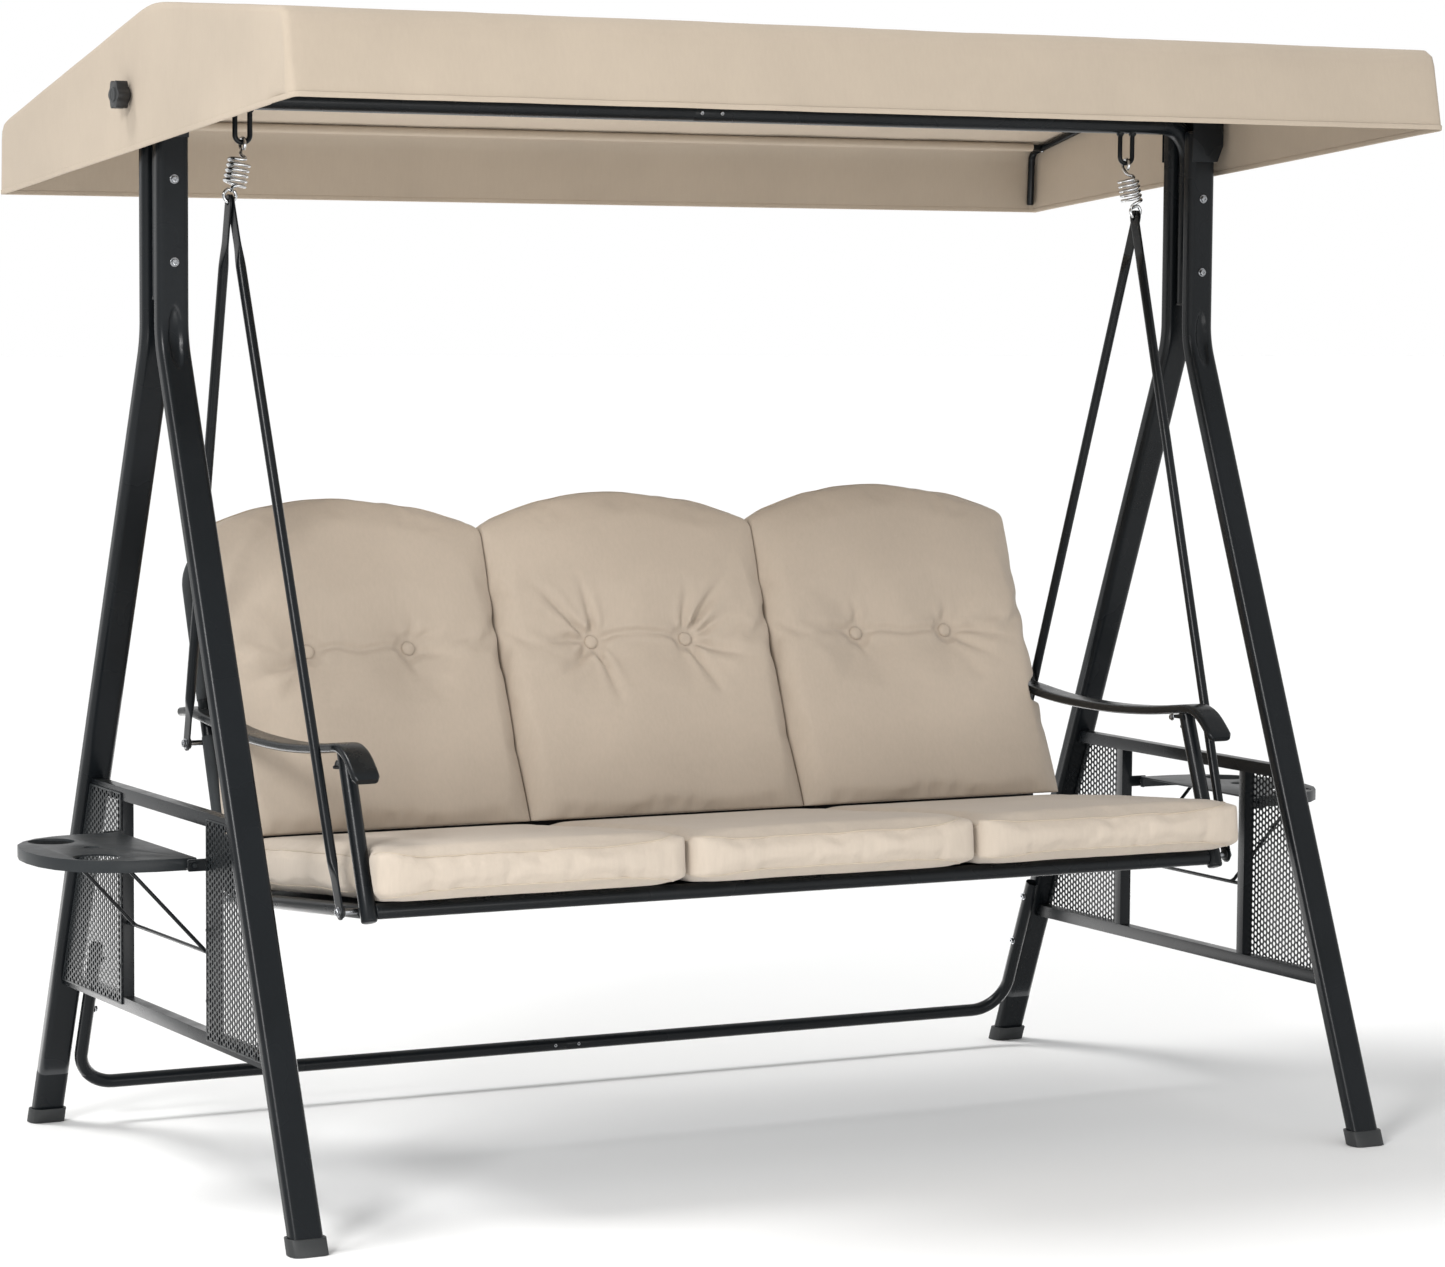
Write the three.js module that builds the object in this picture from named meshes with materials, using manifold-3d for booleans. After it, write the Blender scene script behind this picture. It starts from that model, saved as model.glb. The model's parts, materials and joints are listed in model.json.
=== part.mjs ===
// Canopy swing bench: a three-seat garden swing hung from a four-legged steel stand,
// with a tilting fabric canopy, two folding side trays and loose cushions.
// Units are millimetres, +Z is up, -Y is the front, +X is the end on the right when the bench is seen from the front.
// The origin is on the floor, under the centre of the object's bounding box.
import * as THREE from 'three';
import { mergeVertices } from 'three/addons/utils/BufferGeometryUtils.js';
import Module from 'manifold-3d';

const wasm = await Module();
wasm.setup();

// ---------------------------------------------------------------- driving dimensions
const Y_AXIS = 22.5;            // Y of the crossbar, the swing axis and the canopy axis
const FLOOR = -6;               // floor level under the drawing plane that all heights below are given from
const GAP = 0.35;               // clearance kept between touching pieces

const POST_X = 915;             // end frames stand at +-POST_X
const LEG_W = 50, LEG_D = 28;   // flat-oval leg tube
const LEG_Y = 31.5;             // leg centre from the crossbar axis, upright part
const LEG_TOP = 1622;
const BEND_Z = 1277;
const FOOT_Y = 562;             // leg centre at the floor
const FOOT_H = 24;

const BAR_R = 17;               // top crossbar tube
const BAR_Z = 1640;
const BAR_END_Z = 1341;         // lower end of the turned-down part
const SEAM_X = -30;             // where the two halves meet

const GROUND_R = 11, GROUND_Y = 515, GROUND_Z = 60, GROUND_X = 878, GROUND_TOP = 302;

const RAIL_UP_Z = 574, RAIL_LOW_Z = 247, RAIL_S = 20;
const UPRIGHT_Y = 190, UPRIGHT_C = -16, UPRIGHT_S = 18;

const LOOP_X = 789, LOOP_HALF = 12, LOOP_R = 4, LOOP_Z = 1574;
const HOOK_X = 809.5, HOOK_Z = 1484;       // hole at the top of the hanger rods

const ROD_R = 7.8, PLATE_T = 3, PLATE_W = 25;
const ROD_FOOT_X = 778;
const ROD_FRONT = [-352, 448], ROD_REAR = [273, 636];

const SEAT_X = 741, SEAT_R = 11;           // seat side rails
const SEAT_FRONT_Y = -368, SEAT_FRONT_Z = 448, SEAT_TILT = 5, SEAT_LEN = 560;
const BACK_TILT = 20, BACK_LEN = 575;
const CUSHION_PITCH = 500, SEAT_CUSHION_T = 82, BACK_CUSHION_T = 96;

const CANOPY_X = 970, CANOPY_WALL = 2.5;
const TRAY_AXIS_X = 946, TRAY_AXIS_Z = 508, TRAY_TOP_Z = 517, TRAY_SKIRT = 18;
const WIRE_Z = 373, WIRE_R = 3, WIRE_HALF = 152, WIRE_TOP_X = 1036, WIRE_TOP_Z = 503;

// ---------------------------------------------------------------- colours
const paint = (c, r = 0.45, m = 0.35) => new THREE.MeshStandardMaterial({ color: c, roughness: r, metalness: m });
const STEEL = () => paint(0x2b2f31);
const PLASTIC = () => paint(0x26292b, 0.6, 0);
const CHROME = () => paint(0xc8cacc, 0.15, 1);
const ZINC = () => paint(0xb9bbbd, 0.3, 0.9);
const CANVAS = () => paint(0xc8b9a5, 0.95, 0);
const BACK_CLOTH = () => paint(0xbeb09e, 0.95, 0);
const SEAT_CLOTH = () => paint(0xdaccb8, 0.95, 0);
const SLING = () => paint(0x35383a, 0.9, 0);

// ---------------------------------------------------------------- helpers
const V = (x, y, z) => new THREE.Vector3(x, y, z);
const rad = THREE.MathUtils.degToRad;

function solid(geometry, matrix) {
  let g = geometry.index ? geometry.toNonIndexed() : geometry.clone();
  g.deleteAttribute('normal');
  g.deleteAttribute('uv');
  if (matrix) g.applyMatrix4(matrix);
  g = mergeVertices(g, 1e-4);
  let tri = Array.from(g.index.array);
  if (matrix && matrix.determinant() < 0) {
    for (let i = 0; i < tri.length; i += 3) [tri[i], tri[i + 1]] = [tri[i + 1], tri[i]];
  }
  // drop faces that collapsed when close vertices were merged
  const keep = [];
  for (let i = 0; i < tri.length; i += 3) {
    const [a, b, c] = [tri[i], tri[i + 1], tri[i + 2]];
    if (a !== b && b !== c && a !== c) keep.push(a, b, c);
  }
  const mesh = new wasm.Mesh({ numProp: 3, vertProperties: new Float32Array(g.attributes.position.array), triVerts: new Uint32Array(keep) });
  return new wasm.Manifold(mesh);
}

function geometryOf(man) {
  const m = man.getMesh();
  const g = new THREE.BufferGeometry();
  const n = m.numProp;
  const pos = new Float32Array((m.vertProperties.length / n) * 3);
  for (let i = 0; i < pos.length / 3; i++) {
    pos[3 * i] = m.vertProperties[n * i];
    pos[3 * i + 1] = m.vertProperties[n * i + 1];
    pos[3 * i + 2] = m.vertProperties[n * i + 2];
  }
  g.setAttribute('position', new THREE.BufferAttribute(pos, 3));
  g.setIndex(new THREE.BufferAttribute(new Uint32Array(m.triVerts), 1));
  return g;
}

// a path that steps exactly through its own points, so straight runs cost one step
class StepPath extends THREE.Curve {
  constructor(points, across) { super(); this.points = points; this.across = across; }
  getPoint(t, target = new THREE.Vector3()) {
    const n = this.points.length - 1;
    const f = Math.min(Math.max(t, 0), 1) * n;
    const i = Math.min(n - 1, Math.floor(f + 1e-9));
    return target.lerpVectors(this.points[i], this.points[i + 1], f - i);
  }
  getPointAt(u, target) { return this.getPoint(u, target); }
  getTangentAt(u, target = new THREE.Vector3()) {
    const n = this.points.length - 1;
    const i = Math.min(n, Math.max(0, Math.round(u * n)));
    target.set(0, 0, 0);
    if (i > 0) target.add(this.points[i].clone().sub(this.points[i - 1]).normalize());
    if (i < n) target.add(this.points[i + 1].clone().sub(this.points[i]).normalize());
    return target.normalize();
  }
  getTangent(t, target) { return this.getTangentAt(t, target); }
  // the section's x axis stays square to the plane that the path bends in
  computeFrenetFrames(segments) {
    const tangents = [], normals = [], binormals = [];
    let across = this.across;
    for (let i = 2; i < this.points.length && !across; i++) {
      const c = this.points[1].clone().sub(this.points[0]).cross(this.points[i].clone().sub(this.points[1]));
      if (c.length() > 1e-3) across = c;
    }
    if (!across) across = Math.abs(this.getTangentAt(0).x) > 0.8 ? V(0, 1, 0) : V(1, 0, 0);
    for (let i = 0; i <= segments; i++) {
      const t = this.getTangentAt(i / segments);
      const n = across.clone().addScaledVector(t, -across.dot(t)).normalize();
      tangents.push(t); normals.push(n); binormals.push(t.clone().cross(n));
    }
    return { tangents, normals, binormals };
  }
}

// corner points with radii become a list of points: straight runs and arcs of seg pieces
function fillet(points, radii, seg = 4) {
  const out = [points[0].clone()];
  for (let i = 1; i < points.length - 1; i++) {
    const p = points[i], a = points[i - 1].clone().sub(p).normalize(), b = points[i + 1].clone().sub(p).normalize();
    const ang = a.angleTo(b), r = radii[i - 1] || 0;
    if (r < 0.5 || Math.PI - ang < 0.02) { out.push(p.clone()); continue; }
    const d = r / Math.tan(ang / 2);
    const c = p.clone().add(a.clone().add(b).normalize().multiplyScalar(r / Math.sin(ang / 2)));
    const s = p.clone().add(a.clone().multiplyScalar(d)).sub(c), e = p.clone().add(b.clone().multiplyScalar(d)).sub(c);
    const axis = s.clone().cross(e).normalize(), sweep = s.angleTo(e);
    for (let k = 0; k <= seg; k++) out.push(c.clone().add(s.clone().applyAxisAngle(axis, (sweep * k) / seg)));
  }
  out.push(points[points.length - 1].clone());
  return out;
}

const polygon = (pts) => new THREE.Shape(pts.map(([x, y]) => new THREE.Vector2(x, y)));
function ngon(r, n, phase = 0.5) {
  return polygon(Array.from({ length: n }, (_, i) => [r * Math.cos(((i + phase) * 2 * Math.PI) / n), r * Math.sin(((i + phase) * 2 * Math.PI) / n)]));
}
function roundRect(w, h, r, seg = 2) {
  const pts = [];
  for (const [cx, cy, a0] of [[w / 2 - r, h / 2 - r, 0], [-w / 2 + r, h / 2 - r, 90], [-w / 2 + r, -h / 2 + r, 180], [w / 2 - r, -h / 2 + r, 270]]) {
    for (let k = 0; k <= seg; k++) {
      const a = rad(a0 + (90 * k) / seg);
      pts.push([cx + r * Math.cos(a), cy + r * Math.sin(a)]);
    }
  }
  return polygon(pts);
}
const sweep = (points, shape, across) => new THREE.ExtrudeGeometry(shape, { steps: points.length - 1, bevelEnabled: false, extrudePath: new StepPath(points, across) });
const extrude = (shape, depth) => new THREE.ExtrudeGeometry(shape, { steps: 1, depth, bevelEnabled: false });
// a flat outline drawn in (Y, Z), given its thickness along X from x0 to x1
function slabX(outline, x0, x1, holes = []) {
  const s = polygon(outline);
  for (const [y, z, r, n] of holes) s.holes.push(new THREE.Path(Array.from({ length: n }, (_, i) => new THREE.Vector2(y + r * Math.cos((-i * 2 * Math.PI) / n), z + r * Math.sin((-i * 2 * Math.PI) / n)))));
  const g = extrude(s, Math.abs(x1 - x0));
  // shape x -> Y, shape y -> Z, depth -> X
  const m = new THREE.Matrix4().makeBasis(V(0, 1, 0), V(0, 0, 1), V(1, 0, 0));
  m.setPosition(Math.min(x0, x1), 0, 0);
  return solid(g, m);
}
const box = (x0, x1, y0, y1, z0, z1) => solid(new THREE.BoxGeometry(Math.abs(x1 - x0), Math.abs(y1 - y0), Math.abs(z1 - z0)), new THREE.Matrix4().makeTranslation((x0 + x1) / 2, (y0 + y1) / 2, (z0 + z1) / 2));
function rod(a, b, r, n = 10) {
  const dir = b.clone().sub(a), len = dir.length();
  const m = new THREE.Matrix4().makeRotationFromQuaternion(new THREE.Quaternion().setFromUnitVectors(V(0, 1, 0), dir.normalize()));
  m.setPosition(a.clone().add(b).multiplyScalar(0.5));
  return solid(new THREE.CylinderGeometry(r, r, len, n), m);
}
const place = (man, m) => solid(geometryOf(man), m);

const model = new THREE.Group();
model.position.set(0, Y_AXIS, -FLOOR);
const group = new THREE.Group();
model.add(group);
function add(name, man, material) {
  const mesh = new THREE.Mesh(man.isBufferGeometry ? man : geometryOf(man), material);
  mesh.name = name;
  group.add(mesh);
  return man;
}
const SIDES = [['left', -1], ['right', 1]];

// ---------------------------------------------------------------- legs and feet
const SLOPE = (FOOT_Y - LEG_Y) / (BEND_Z - FLOOR);              // how far the leg moves out per millimetre down
const legY = (z) => LEG_Y + (BEND_Z - z) * SLOPE;     // leg centre below the bend
function legSweep(s, f, grow = 0, zEnd = -40) {
  const pts = fillet([V(s * POST_X, f * LEG_Y, LEG_TOP), V(s * POST_X, f * LEG_Y, BEND_Z), V(s * POST_X, f * legY(zEnd), zEnd)], [150], 5);
  return solid(sweep(pts, roundRect(LEG_W + 2 * grow, LEG_D + 2 * grow, 10 + grow, 2), V(1, 0, 0)));
}
const legSolidGrown = {};
for (const [side, s] of SIDES) {
  for (const [pos, f] of [['front', -1], ['back', 1]]) {
    // the flat oval is laid with its wide face to the front or the back
    const raw = legSweep(s, f);
    // pressed dent on the outer face where the tube bends
    const dent = solid(new THREE.SphereGeometry(1, 10, 8), new THREE.Matrix4().compose(V(s * POST_X, f * (LEG_Y + LEG_D / 2 + 3.5), BEND_Z + 4), new THREE.Quaternion().setFromAxisAngle(V(1, 0, 0), f * rad(10)), V(9, 8, 44)));
    const leg = raw.subtract(box(s * POST_X - 60, s * POST_X + 60, f * 300, f * 900, -80, FLOOR + 5)).subtract(dent);
    legSolidGrown[side + pos] = legSweep(s, f, GAP, -40);
    add(`leg_${pos}_${side}`, leg, STEEL());
    // foot cap: a cup on the leg's slanted end
    const line = [V(s * POST_X, f * legY(80), 80), V(s * POST_X, f * legY(-60), -60)];
    const outer = solid(sweep(line, roundRect(LEG_W + 9, LEG_D + 9, 12, 2), V(1, 0, 0)));
    const slab = box(s * POST_X - 60, s * POST_X + 60, f * 400, f * 700, FLOOR, FLOOR + FOOT_H);
    const inner = solid(sweep(line, roundRect(LEG_W + 0.8, LEG_D + 0.8, 10.4, 2), V(1, 0, 0))).intersect(box(s * POST_X - 60, s * POST_X + 60, f * 400, f * 700, FLOOR + 4.5, 60));
    add(`foot_${pos}_${side}`, outer.intersect(slab).subtract(inner), PLASTIC());
  }
}

// ---------------------------------------------------------------- top crossbar, in two halves
{
  const half = (s, from) => solid(sweep(fillet([V(from, 0, BAR_Z), V(s * POST_X, 0, BAR_Z), V(s * POST_X, 0, BAR_END_Z)], [55], 5), ngon(BAR_R, 14)));
  const spigot = rod(V(SEAM_X - 20, 0, BAR_Z), V(38, 0, BAR_Z), 14.6, 14);
  add('crossbar_left', half(-1, SEAM_X - GAP).add(spigot), STEEL());
  add('crossbar_right', half(1, SEAM_X).subtract(rod(V(SEAM_X - 5, 0, BAR_Z), V(42, 0, BAR_Z), 15.1, 14)), STEEL());
}

// ---------------------------------------------------------------- post bolts: head, shank side by side with the tubes
// each bolt passes front leg, crossbar end and back leg, so those get clearance holes
const BOLT_Z = [1516, 1393];
const boltHole = (s, z) => rod(V(s * POST_X, -60, z), V(s * POST_X, 60, z), 4.4, 10);
for (const [side, s] of SIDES) {
  for (const node of [`leg_front_${side}`, `leg_back_${side}`, `crossbar_${side}`]) {
    const mesh = group.children.find((c) => c.name === node);
    let man = solid(mesh.geometry);
    for (const z of BOLT_Z) man = man.subtract(boltHole(s, z));
    mesh.geometry = geometryOf(man);
  }
  BOLT_Z.forEach((z, i) => {
    const face = LEG_Y + LEG_D / 2 + GAP;
    const shank = rod(V(s * POST_X, -face - 1, z), V(s * POST_X, face + 9, z), 4, 10);
    const head = rod(V(s * POST_X, -face - 5.5, z), V(s * POST_X, -face, z), 8, 12);
    const nut = rod(V(s * POST_X, face, z), V(s * POST_X, face + 6.5, z), 7.5, 6);
    add(`post_bolt_${i === 0 ? 'upper' : 'lower'}_${side}`, shank.add(head).add(nut), ZINC());
  });
}

// ---------------------------------------------------------------- canopy brackets on the posts
for (const [side, s] of SIDES) {
  const yIn = LEG_Y + LEG_D / 2 + GAP, yOut = yIn + 2, x0 = 892, x1 = 952.5, zb = 1572, zt = 1668;
  let b = box(s * x0, s * x1, -yOut, yOut, zb, zt).subtract(box(s * (x0 - 10), s * (x1 - 2), -yIn, yIn, zb - 10, zt + 10));
  // chamfered lower outboard corner
  const cut = solid(extrude(polygon([[0, -40], [30, -40], [30, 34], [12, 34], [0, 6], [-60, 6], [-60, -40]]), 140), new THREE.Matrix4().makeBasis(V(s, 0, 0), V(0, 0, 1), V(0, -s, 0)).setPosition(s * 941, s * 70, zb));
  b = b.subtract(cut).subtract(rod(V(s * 930, 0, BAR_Z), V(s * 970, 0, BAR_Z), 4.6, 12));
  add(`canopy_bracket_${side}`, b, STEEL());
}

// ---------------------------------------------------------------- hanger loops
for (const [side, s] of SIDES) {
  const x = s * LOOP_X, zt = BAR_Z - BAR_R - 0.4;
  const pts = fillet([V(x - LOOP_HALF, 0, zt), V(x - LOOP_HALF, 0, LOOP_Z), V(x + LOOP_HALF, 0, LOOP_Z), V(x + LOOP_HALF, 0, zt)], [11, 11], 4);
  add(`hanger_loop_${side}`, sweep(pts, ngon(LOOP_R, 8)), STEEL());
}

// ---------------------------------------------------------------- side frames: two rails and two uprights, with the tray ears
for (const [side, s] of SIDES) {
  const x = s * POST_X, h = RAIL_S / 2, u = UPRIGHT_S / 2;
  let f = box(x - h, x + h, -legY(RAIL_UP_Z), legY(RAIL_UP_Z), RAIL_UP_Z - h, RAIL_UP_Z + h)
    .add(box(x - h, x + h, -legY(RAIL_LOW_Z), legY(RAIL_LOW_Z), RAIL_LOW_Z - h, RAIL_LOW_Z + h));
  for (const e of [-1, 1]) {
    const yc = UPRIGHT_C + e * UPRIGHT_Y;
    f = f.add(box(x - u, x + u, yc - u, yc + u, RAIL_LOW_Z, RAIL_UP_Z));
    // ear that carries the tray's hinge pin
    const ear = solid(extrude(polygon([[-36, -9], [8, -9], [11, -5], [11, 5], [8, 9], [-36, 9]]), 4), new THREE.Matrix4().makeBasis(V(s, 0, 0), V(0, 0, 1), V(0, -s, 0)).setPosition(s * TRAY_AXIS_X, yc - e * (u - 2) + s * 2, TRAY_AXIS_Z));
    f = f.add(ear.subtract(rod(V(s * TRAY_AXIS_X, yc - 30, TRAY_AXIS_Z), V(s * TRAY_AXIS_X, yc + 30, TRAY_AXIS_Z), 3.6, 12)));
  }
  f = f.subtract(legSolidGrown[side + 'front']).subtract(legSolidGrown[side + 'back']);
  add(`side_frame_${side}`, f, STEEL());
  // perforated sheet panels on the outer faces of rails and uprights, from the upright to the leg
  for (const [pos, e] of [['front', -1], ['back', 1]]) {
    const yc = UPRIGHT_C + e * UPRIGHT_Y;
    let p = box(x + s * (h + GAP), x + s * (h + GAP + 1.5), yc - e * (u - 1), e * (legY(RAIL_LOW_Z) + 20), RAIL_LOW_Z - 2, RAIL_UP_Z + 2);
    p = p.subtract(legSolidGrown[side + pos]).subtract(box(x - 60, x + 60, yc - e * (u + 2), yc - e * (u - 5), TRAY_AXIS_Z - 10, TRAY_AXIS_Z + 10));
    // keep only the part on the upright's side of the leg
    const parts = p.decompose().sort((a, b) => b.volume() - a.volume());
    add(`panel_${pos}_${side}`, parts[0], STEEL());
  }
}

// ---------------------------------------------------------------- ground crossbar, in two halves
for (const [side, s] of SIDES) {
  const up = V(s * GROUND_X, GROUND_Y - (GROUND_TOP - GROUND_Z) * SLOPE, GROUND_TOP);
  const pts = fillet([V(side === 'left' ? 38 : 0, GROUND_Y, GROUND_Z), V(s * GROUND_X, GROUND_Y, GROUND_Z), up], [62], 5);
  if (side === 'left') pts[0].x = -GAP;
  let g = solid(sweep(pts, ngon(GROUND_R, 12)));
  if (side === 'left') g = g.add(rod(V(-20, GROUND_Y, GROUND_Z), V(40, GROUND_Y, GROUND_Z), 9.1, 12));
  else g = g.subtract(rod(V(-5, GROUND_Y, GROUND_Z), V(44, GROUND_Y, GROUND_Z), 9.6, 12));
  add(`ground_bar_${side}`, g, STEEL());
}

// ---------------------------------------------------------------- springs
for (const [side, s] of SIDES) {
  const top = V(s * LOOP_X, 0, 1571.5), low = V(s * HOOK_X, 0, HOOK_Z + 10);
  const a = V(s * 793.5, 0, 1547), b = V(s * 802.5, 0, 1510);
  const dir = a.clone().sub(b).normalize();
  let sp = rod(b, a, 18.5, 14);
  const upper = solid(new THREE.TorusGeometry(10, 2.5, 6, 14), new THREE.Matrix4().makeRotationY(Math.PI / 2).setPosition(top));
  const lower = solid(new THREE.TorusGeometry(10, 2.5, 6, 14), new THREE.Matrix4().makeRotationX(Math.PI / 2).setPosition(low));
  sp = sp.add(rod(a.clone().sub(dir.clone().multiplyScalar(5)), top.clone().add(V(0, 0, -10)), 2.5, 8)).add(rod(b.clone().add(dir.clone().multiplyScalar(5)), low.clone().add(V(0, 0, 10)), 2.5, 8));
  add(`spring_${side}`, sp.add(upper).add(lower), CHROME());
}

// ---------------------------------------------------------------- hanger rods: round tube with flattened, drilled ends
for (const [side, s] of SIDES) {
  for (const [pos, off, foot] of [['front', -1, ROD_FRONT], ['rear', 1, ROD_REAR]]) {
    const T = V(s * (HOOK_X + off * 2.0), 0, HOOK_Z), B = V(s * ROD_FOOT_X, foot[0], foot[1]);
    const dir = T.clone().sub(B), len = dir.length();
    dir.normalize();
    const xAxis = V(1, 0, 0).addScaledVector(dir, -dir.x).normalize();
    const yAxis = dir.clone().cross(xAxis);
    const m = new THREE.Matrix4().makeBasis(xAxis, yAxis, dir).setPosition(B);
    const plate = (z0, z1, holeZ) => {
      const w = PLATE_W / 2, mid = (z0 + z1) / 2, far = Math.abs(holeZ - z0) < Math.abs(holeZ - z1) ? -1 : 1;
      const pts = [];
      const tip = far > 0 ? z1 : z0, root = far > 0 ? z0 : z1;
      // rounded at the drilled end, narrowing to the tube at the other
      for (let k = 0; k <= 6; k++) { const a = (Math.PI * k) / 6; pts.push([w * Math.cos(a), tip - far * w + far * w * Math.sin(a)]); }
      pts.push([-7, root], [7, root]);
      if (far < 0) pts.reverse();
      const shape = polygon(pts);
      shape.holes.push(new THREE.Path(Array.from({ length: 12 }, (_, i) => new THREE.Vector2(5 * Math.cos((-i * Math.PI) / 6), holeZ + 5 * Math.sin((-i * Math.PI) / 6)))));
      return solid(extrude(shape, PLATE_T), new THREE.Matrix4().makeBasis(V(0, 1, 0), V(0, 0, 1), V(1, 0, 0)).setPosition(-PLATE_T / 2, 0, 0));
    };
    let r = solid(new THREE.CylinderGeometry(ROD_R, ROD_R, len - 50 - 46, 10), new THREE.Matrix4().makeRotationX(Math.PI / 2).setPosition(0, 0, 46 + (len - 96) / 2));
    r = r.add(plate(len - 70, len + 12, len)).add(plate(-12, 66, 0));
    add(`hanger_rod_${pos}_${side}`, place(r, m), STEEL());
  }
}

// ---------------------------------------------------------------- seat frame
// seat plane: local y runs rearwards, local z up from the rails' centre line
const seatM = new THREE.Matrix4().makeRotationX(-rad(SEAT_TILT)).setPosition(0, SEAT_FRONT_Y, SEAT_FRONT_Z);
const seatRear = V(0, SEAT_LEN, 0).applyMatrix4(seatM);
// back plane: local z runs up the backrest, local y to the rear
const backM = new THREE.Matrix4().makeRotationX(-rad(BACK_TILT)).setPosition(0, seatRear.y - 8, seatRear.z);
const inSeat = (x, y, z) => V(x, y, z).applyMatrix4(seatM);
const inBack = (x, y, z) => V(x, y, z).applyMatrix4(backM);

const postFoot = V(0, SEAT_FRONT_Y - 6, SEAT_FRONT_Z - 12), postHead = V(0, -283, 676);
for (const [side, s] of SIDES) {
  const x = s * SEAT_X;
  const post = solid(sweep([V(x, postFoot.y, postFoot.z), V(x, postHead.y, postHead.z)], ngon(12.5, 14)));
  const grown = solid(sweep([V(x, postFoot.y - 8, postFoot.z - 22), V(x, postHead.y, postHead.z)], ngon(12.5 + GAP, 14)));
  add(`seat_post_${side}`, post, STEEL());
  const rail = solid(sweep([inSeat(x, -8, 0), inSeat(x, SEAT_LEN, 0)], ngon(SEAT_R, 12)));
  const kept = rail.subtract(grown).decompose().sort((a, b) => b.volume() - a.volume())[0];
  add(`seat_rail_${side}`, kept, STEEL());
}
{
  const xe = SEAT_X + 5;
  let front = solid(sweep([inSeat(-xe, 0, 0), inSeat(xe, 0, 0)], ngon(12, 12)));
  for (const [, s] of SIDES) {
    const x = s * SEAT_X;
    front = front.subtract(solid(sweep([V(x, postFoot.y - 8, postFoot.z - 22), V(x, postHead.y, postHead.z)], ngon(12.5 + GAP, 14))))
      .subtract(solid(sweep([inSeat(x, -8, 0), inSeat(x, SEAT_LEN, 0)], ngon(SEAT_R + GAP, 12))));
  }
  add('seat_front_rail', front.decompose().sort((a, b) => b.volume() - a.volume())[0], STEEL());
  const xr = SEAT_X - SEAT_R - GAP;
  add('seat_rear_rail', solid(sweep([inSeat(-xr, SEAT_LEN - 11, 0), inSeat(xr, SEAT_LEN - 11, 0)], ngon(SEAT_R, 12))), STEEL());
}
// back frame: one tube bent over the top, standing on the side rails
const backTube = (r) => sweep(fillet([inBack(-SEAT_X, 0, 15), inBack(-SEAT_X, 0, BACK_LEN), inBack(SEAT_X, 0, BACK_LEN), inBack(SEAT_X, 0, 15)], [70, 70], 5), ngon(r, 12));
add('back_frame', backTube(SEAT_R), STEEL());

// armrests: curved paddles, notched on the inner edge round the back frame
const armPath = (s) => [[340, 680], [300, 683], [210, 676], [110, 667], [20, 664], [-80, 665], [-180, 671], [-262, 680], [-300, 684], [-322, 681], [-342, 672], [-362, 656], [-378, 641]].map(([y, z]) => V(s * 746, y, z));
for (const [side, s] of SIDES) {
  let arm = solid(sweep(armPath(s), roundRect(44, 14, 6, 2), V(1, 0, 0)));
  const clear = solid(sweep([inBack(s * SEAT_X, 0, 200), inBack(s * SEAT_X, 0, 400)], ngon(SEAT_R + 1, 12)));
  arm = arm.subtract(clear).subtract(place(box(s * (SEAT_X - 40), s * SEAT_X, -SEAT_R - 1, SEAT_R + 1, 200, 400), backM));
  // the post's head runs into the underside
  arm = arm.subtract(solid(sweep([V(s * SEAT_X, postFoot.y, postFoot.z), V(s * SEAT_X, postHead.y, postHead.z).add(V(0, postHead.y - postFoot.y, postHead.z - postFoot.z).multiplyScalar(0.004))], ngon(12.5 + GAP, 14))));
  add(`armrest_${side}`, arm.decompose().sort((a, b) => b.volume() - a.volume())[0], PLASTIC());
}

// slings
{
  const x = SEAT_X - SEAT_R - GAP;
  add('seat_sling', place(box(-x, x, 13, SEAT_LEN - 11 - SEAT_R - GAP, 4, 7), seatM), SLING());
  add('back_sling', place(box(-x, x, -6, -3, 40, BACK_LEN - SEAT_R - GAP), backM).subtract(solid(backTube(SEAT_R + GAP))).decompose().sort((a, b) => b.volume() - a.volume())[0], SLING());
}

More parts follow.
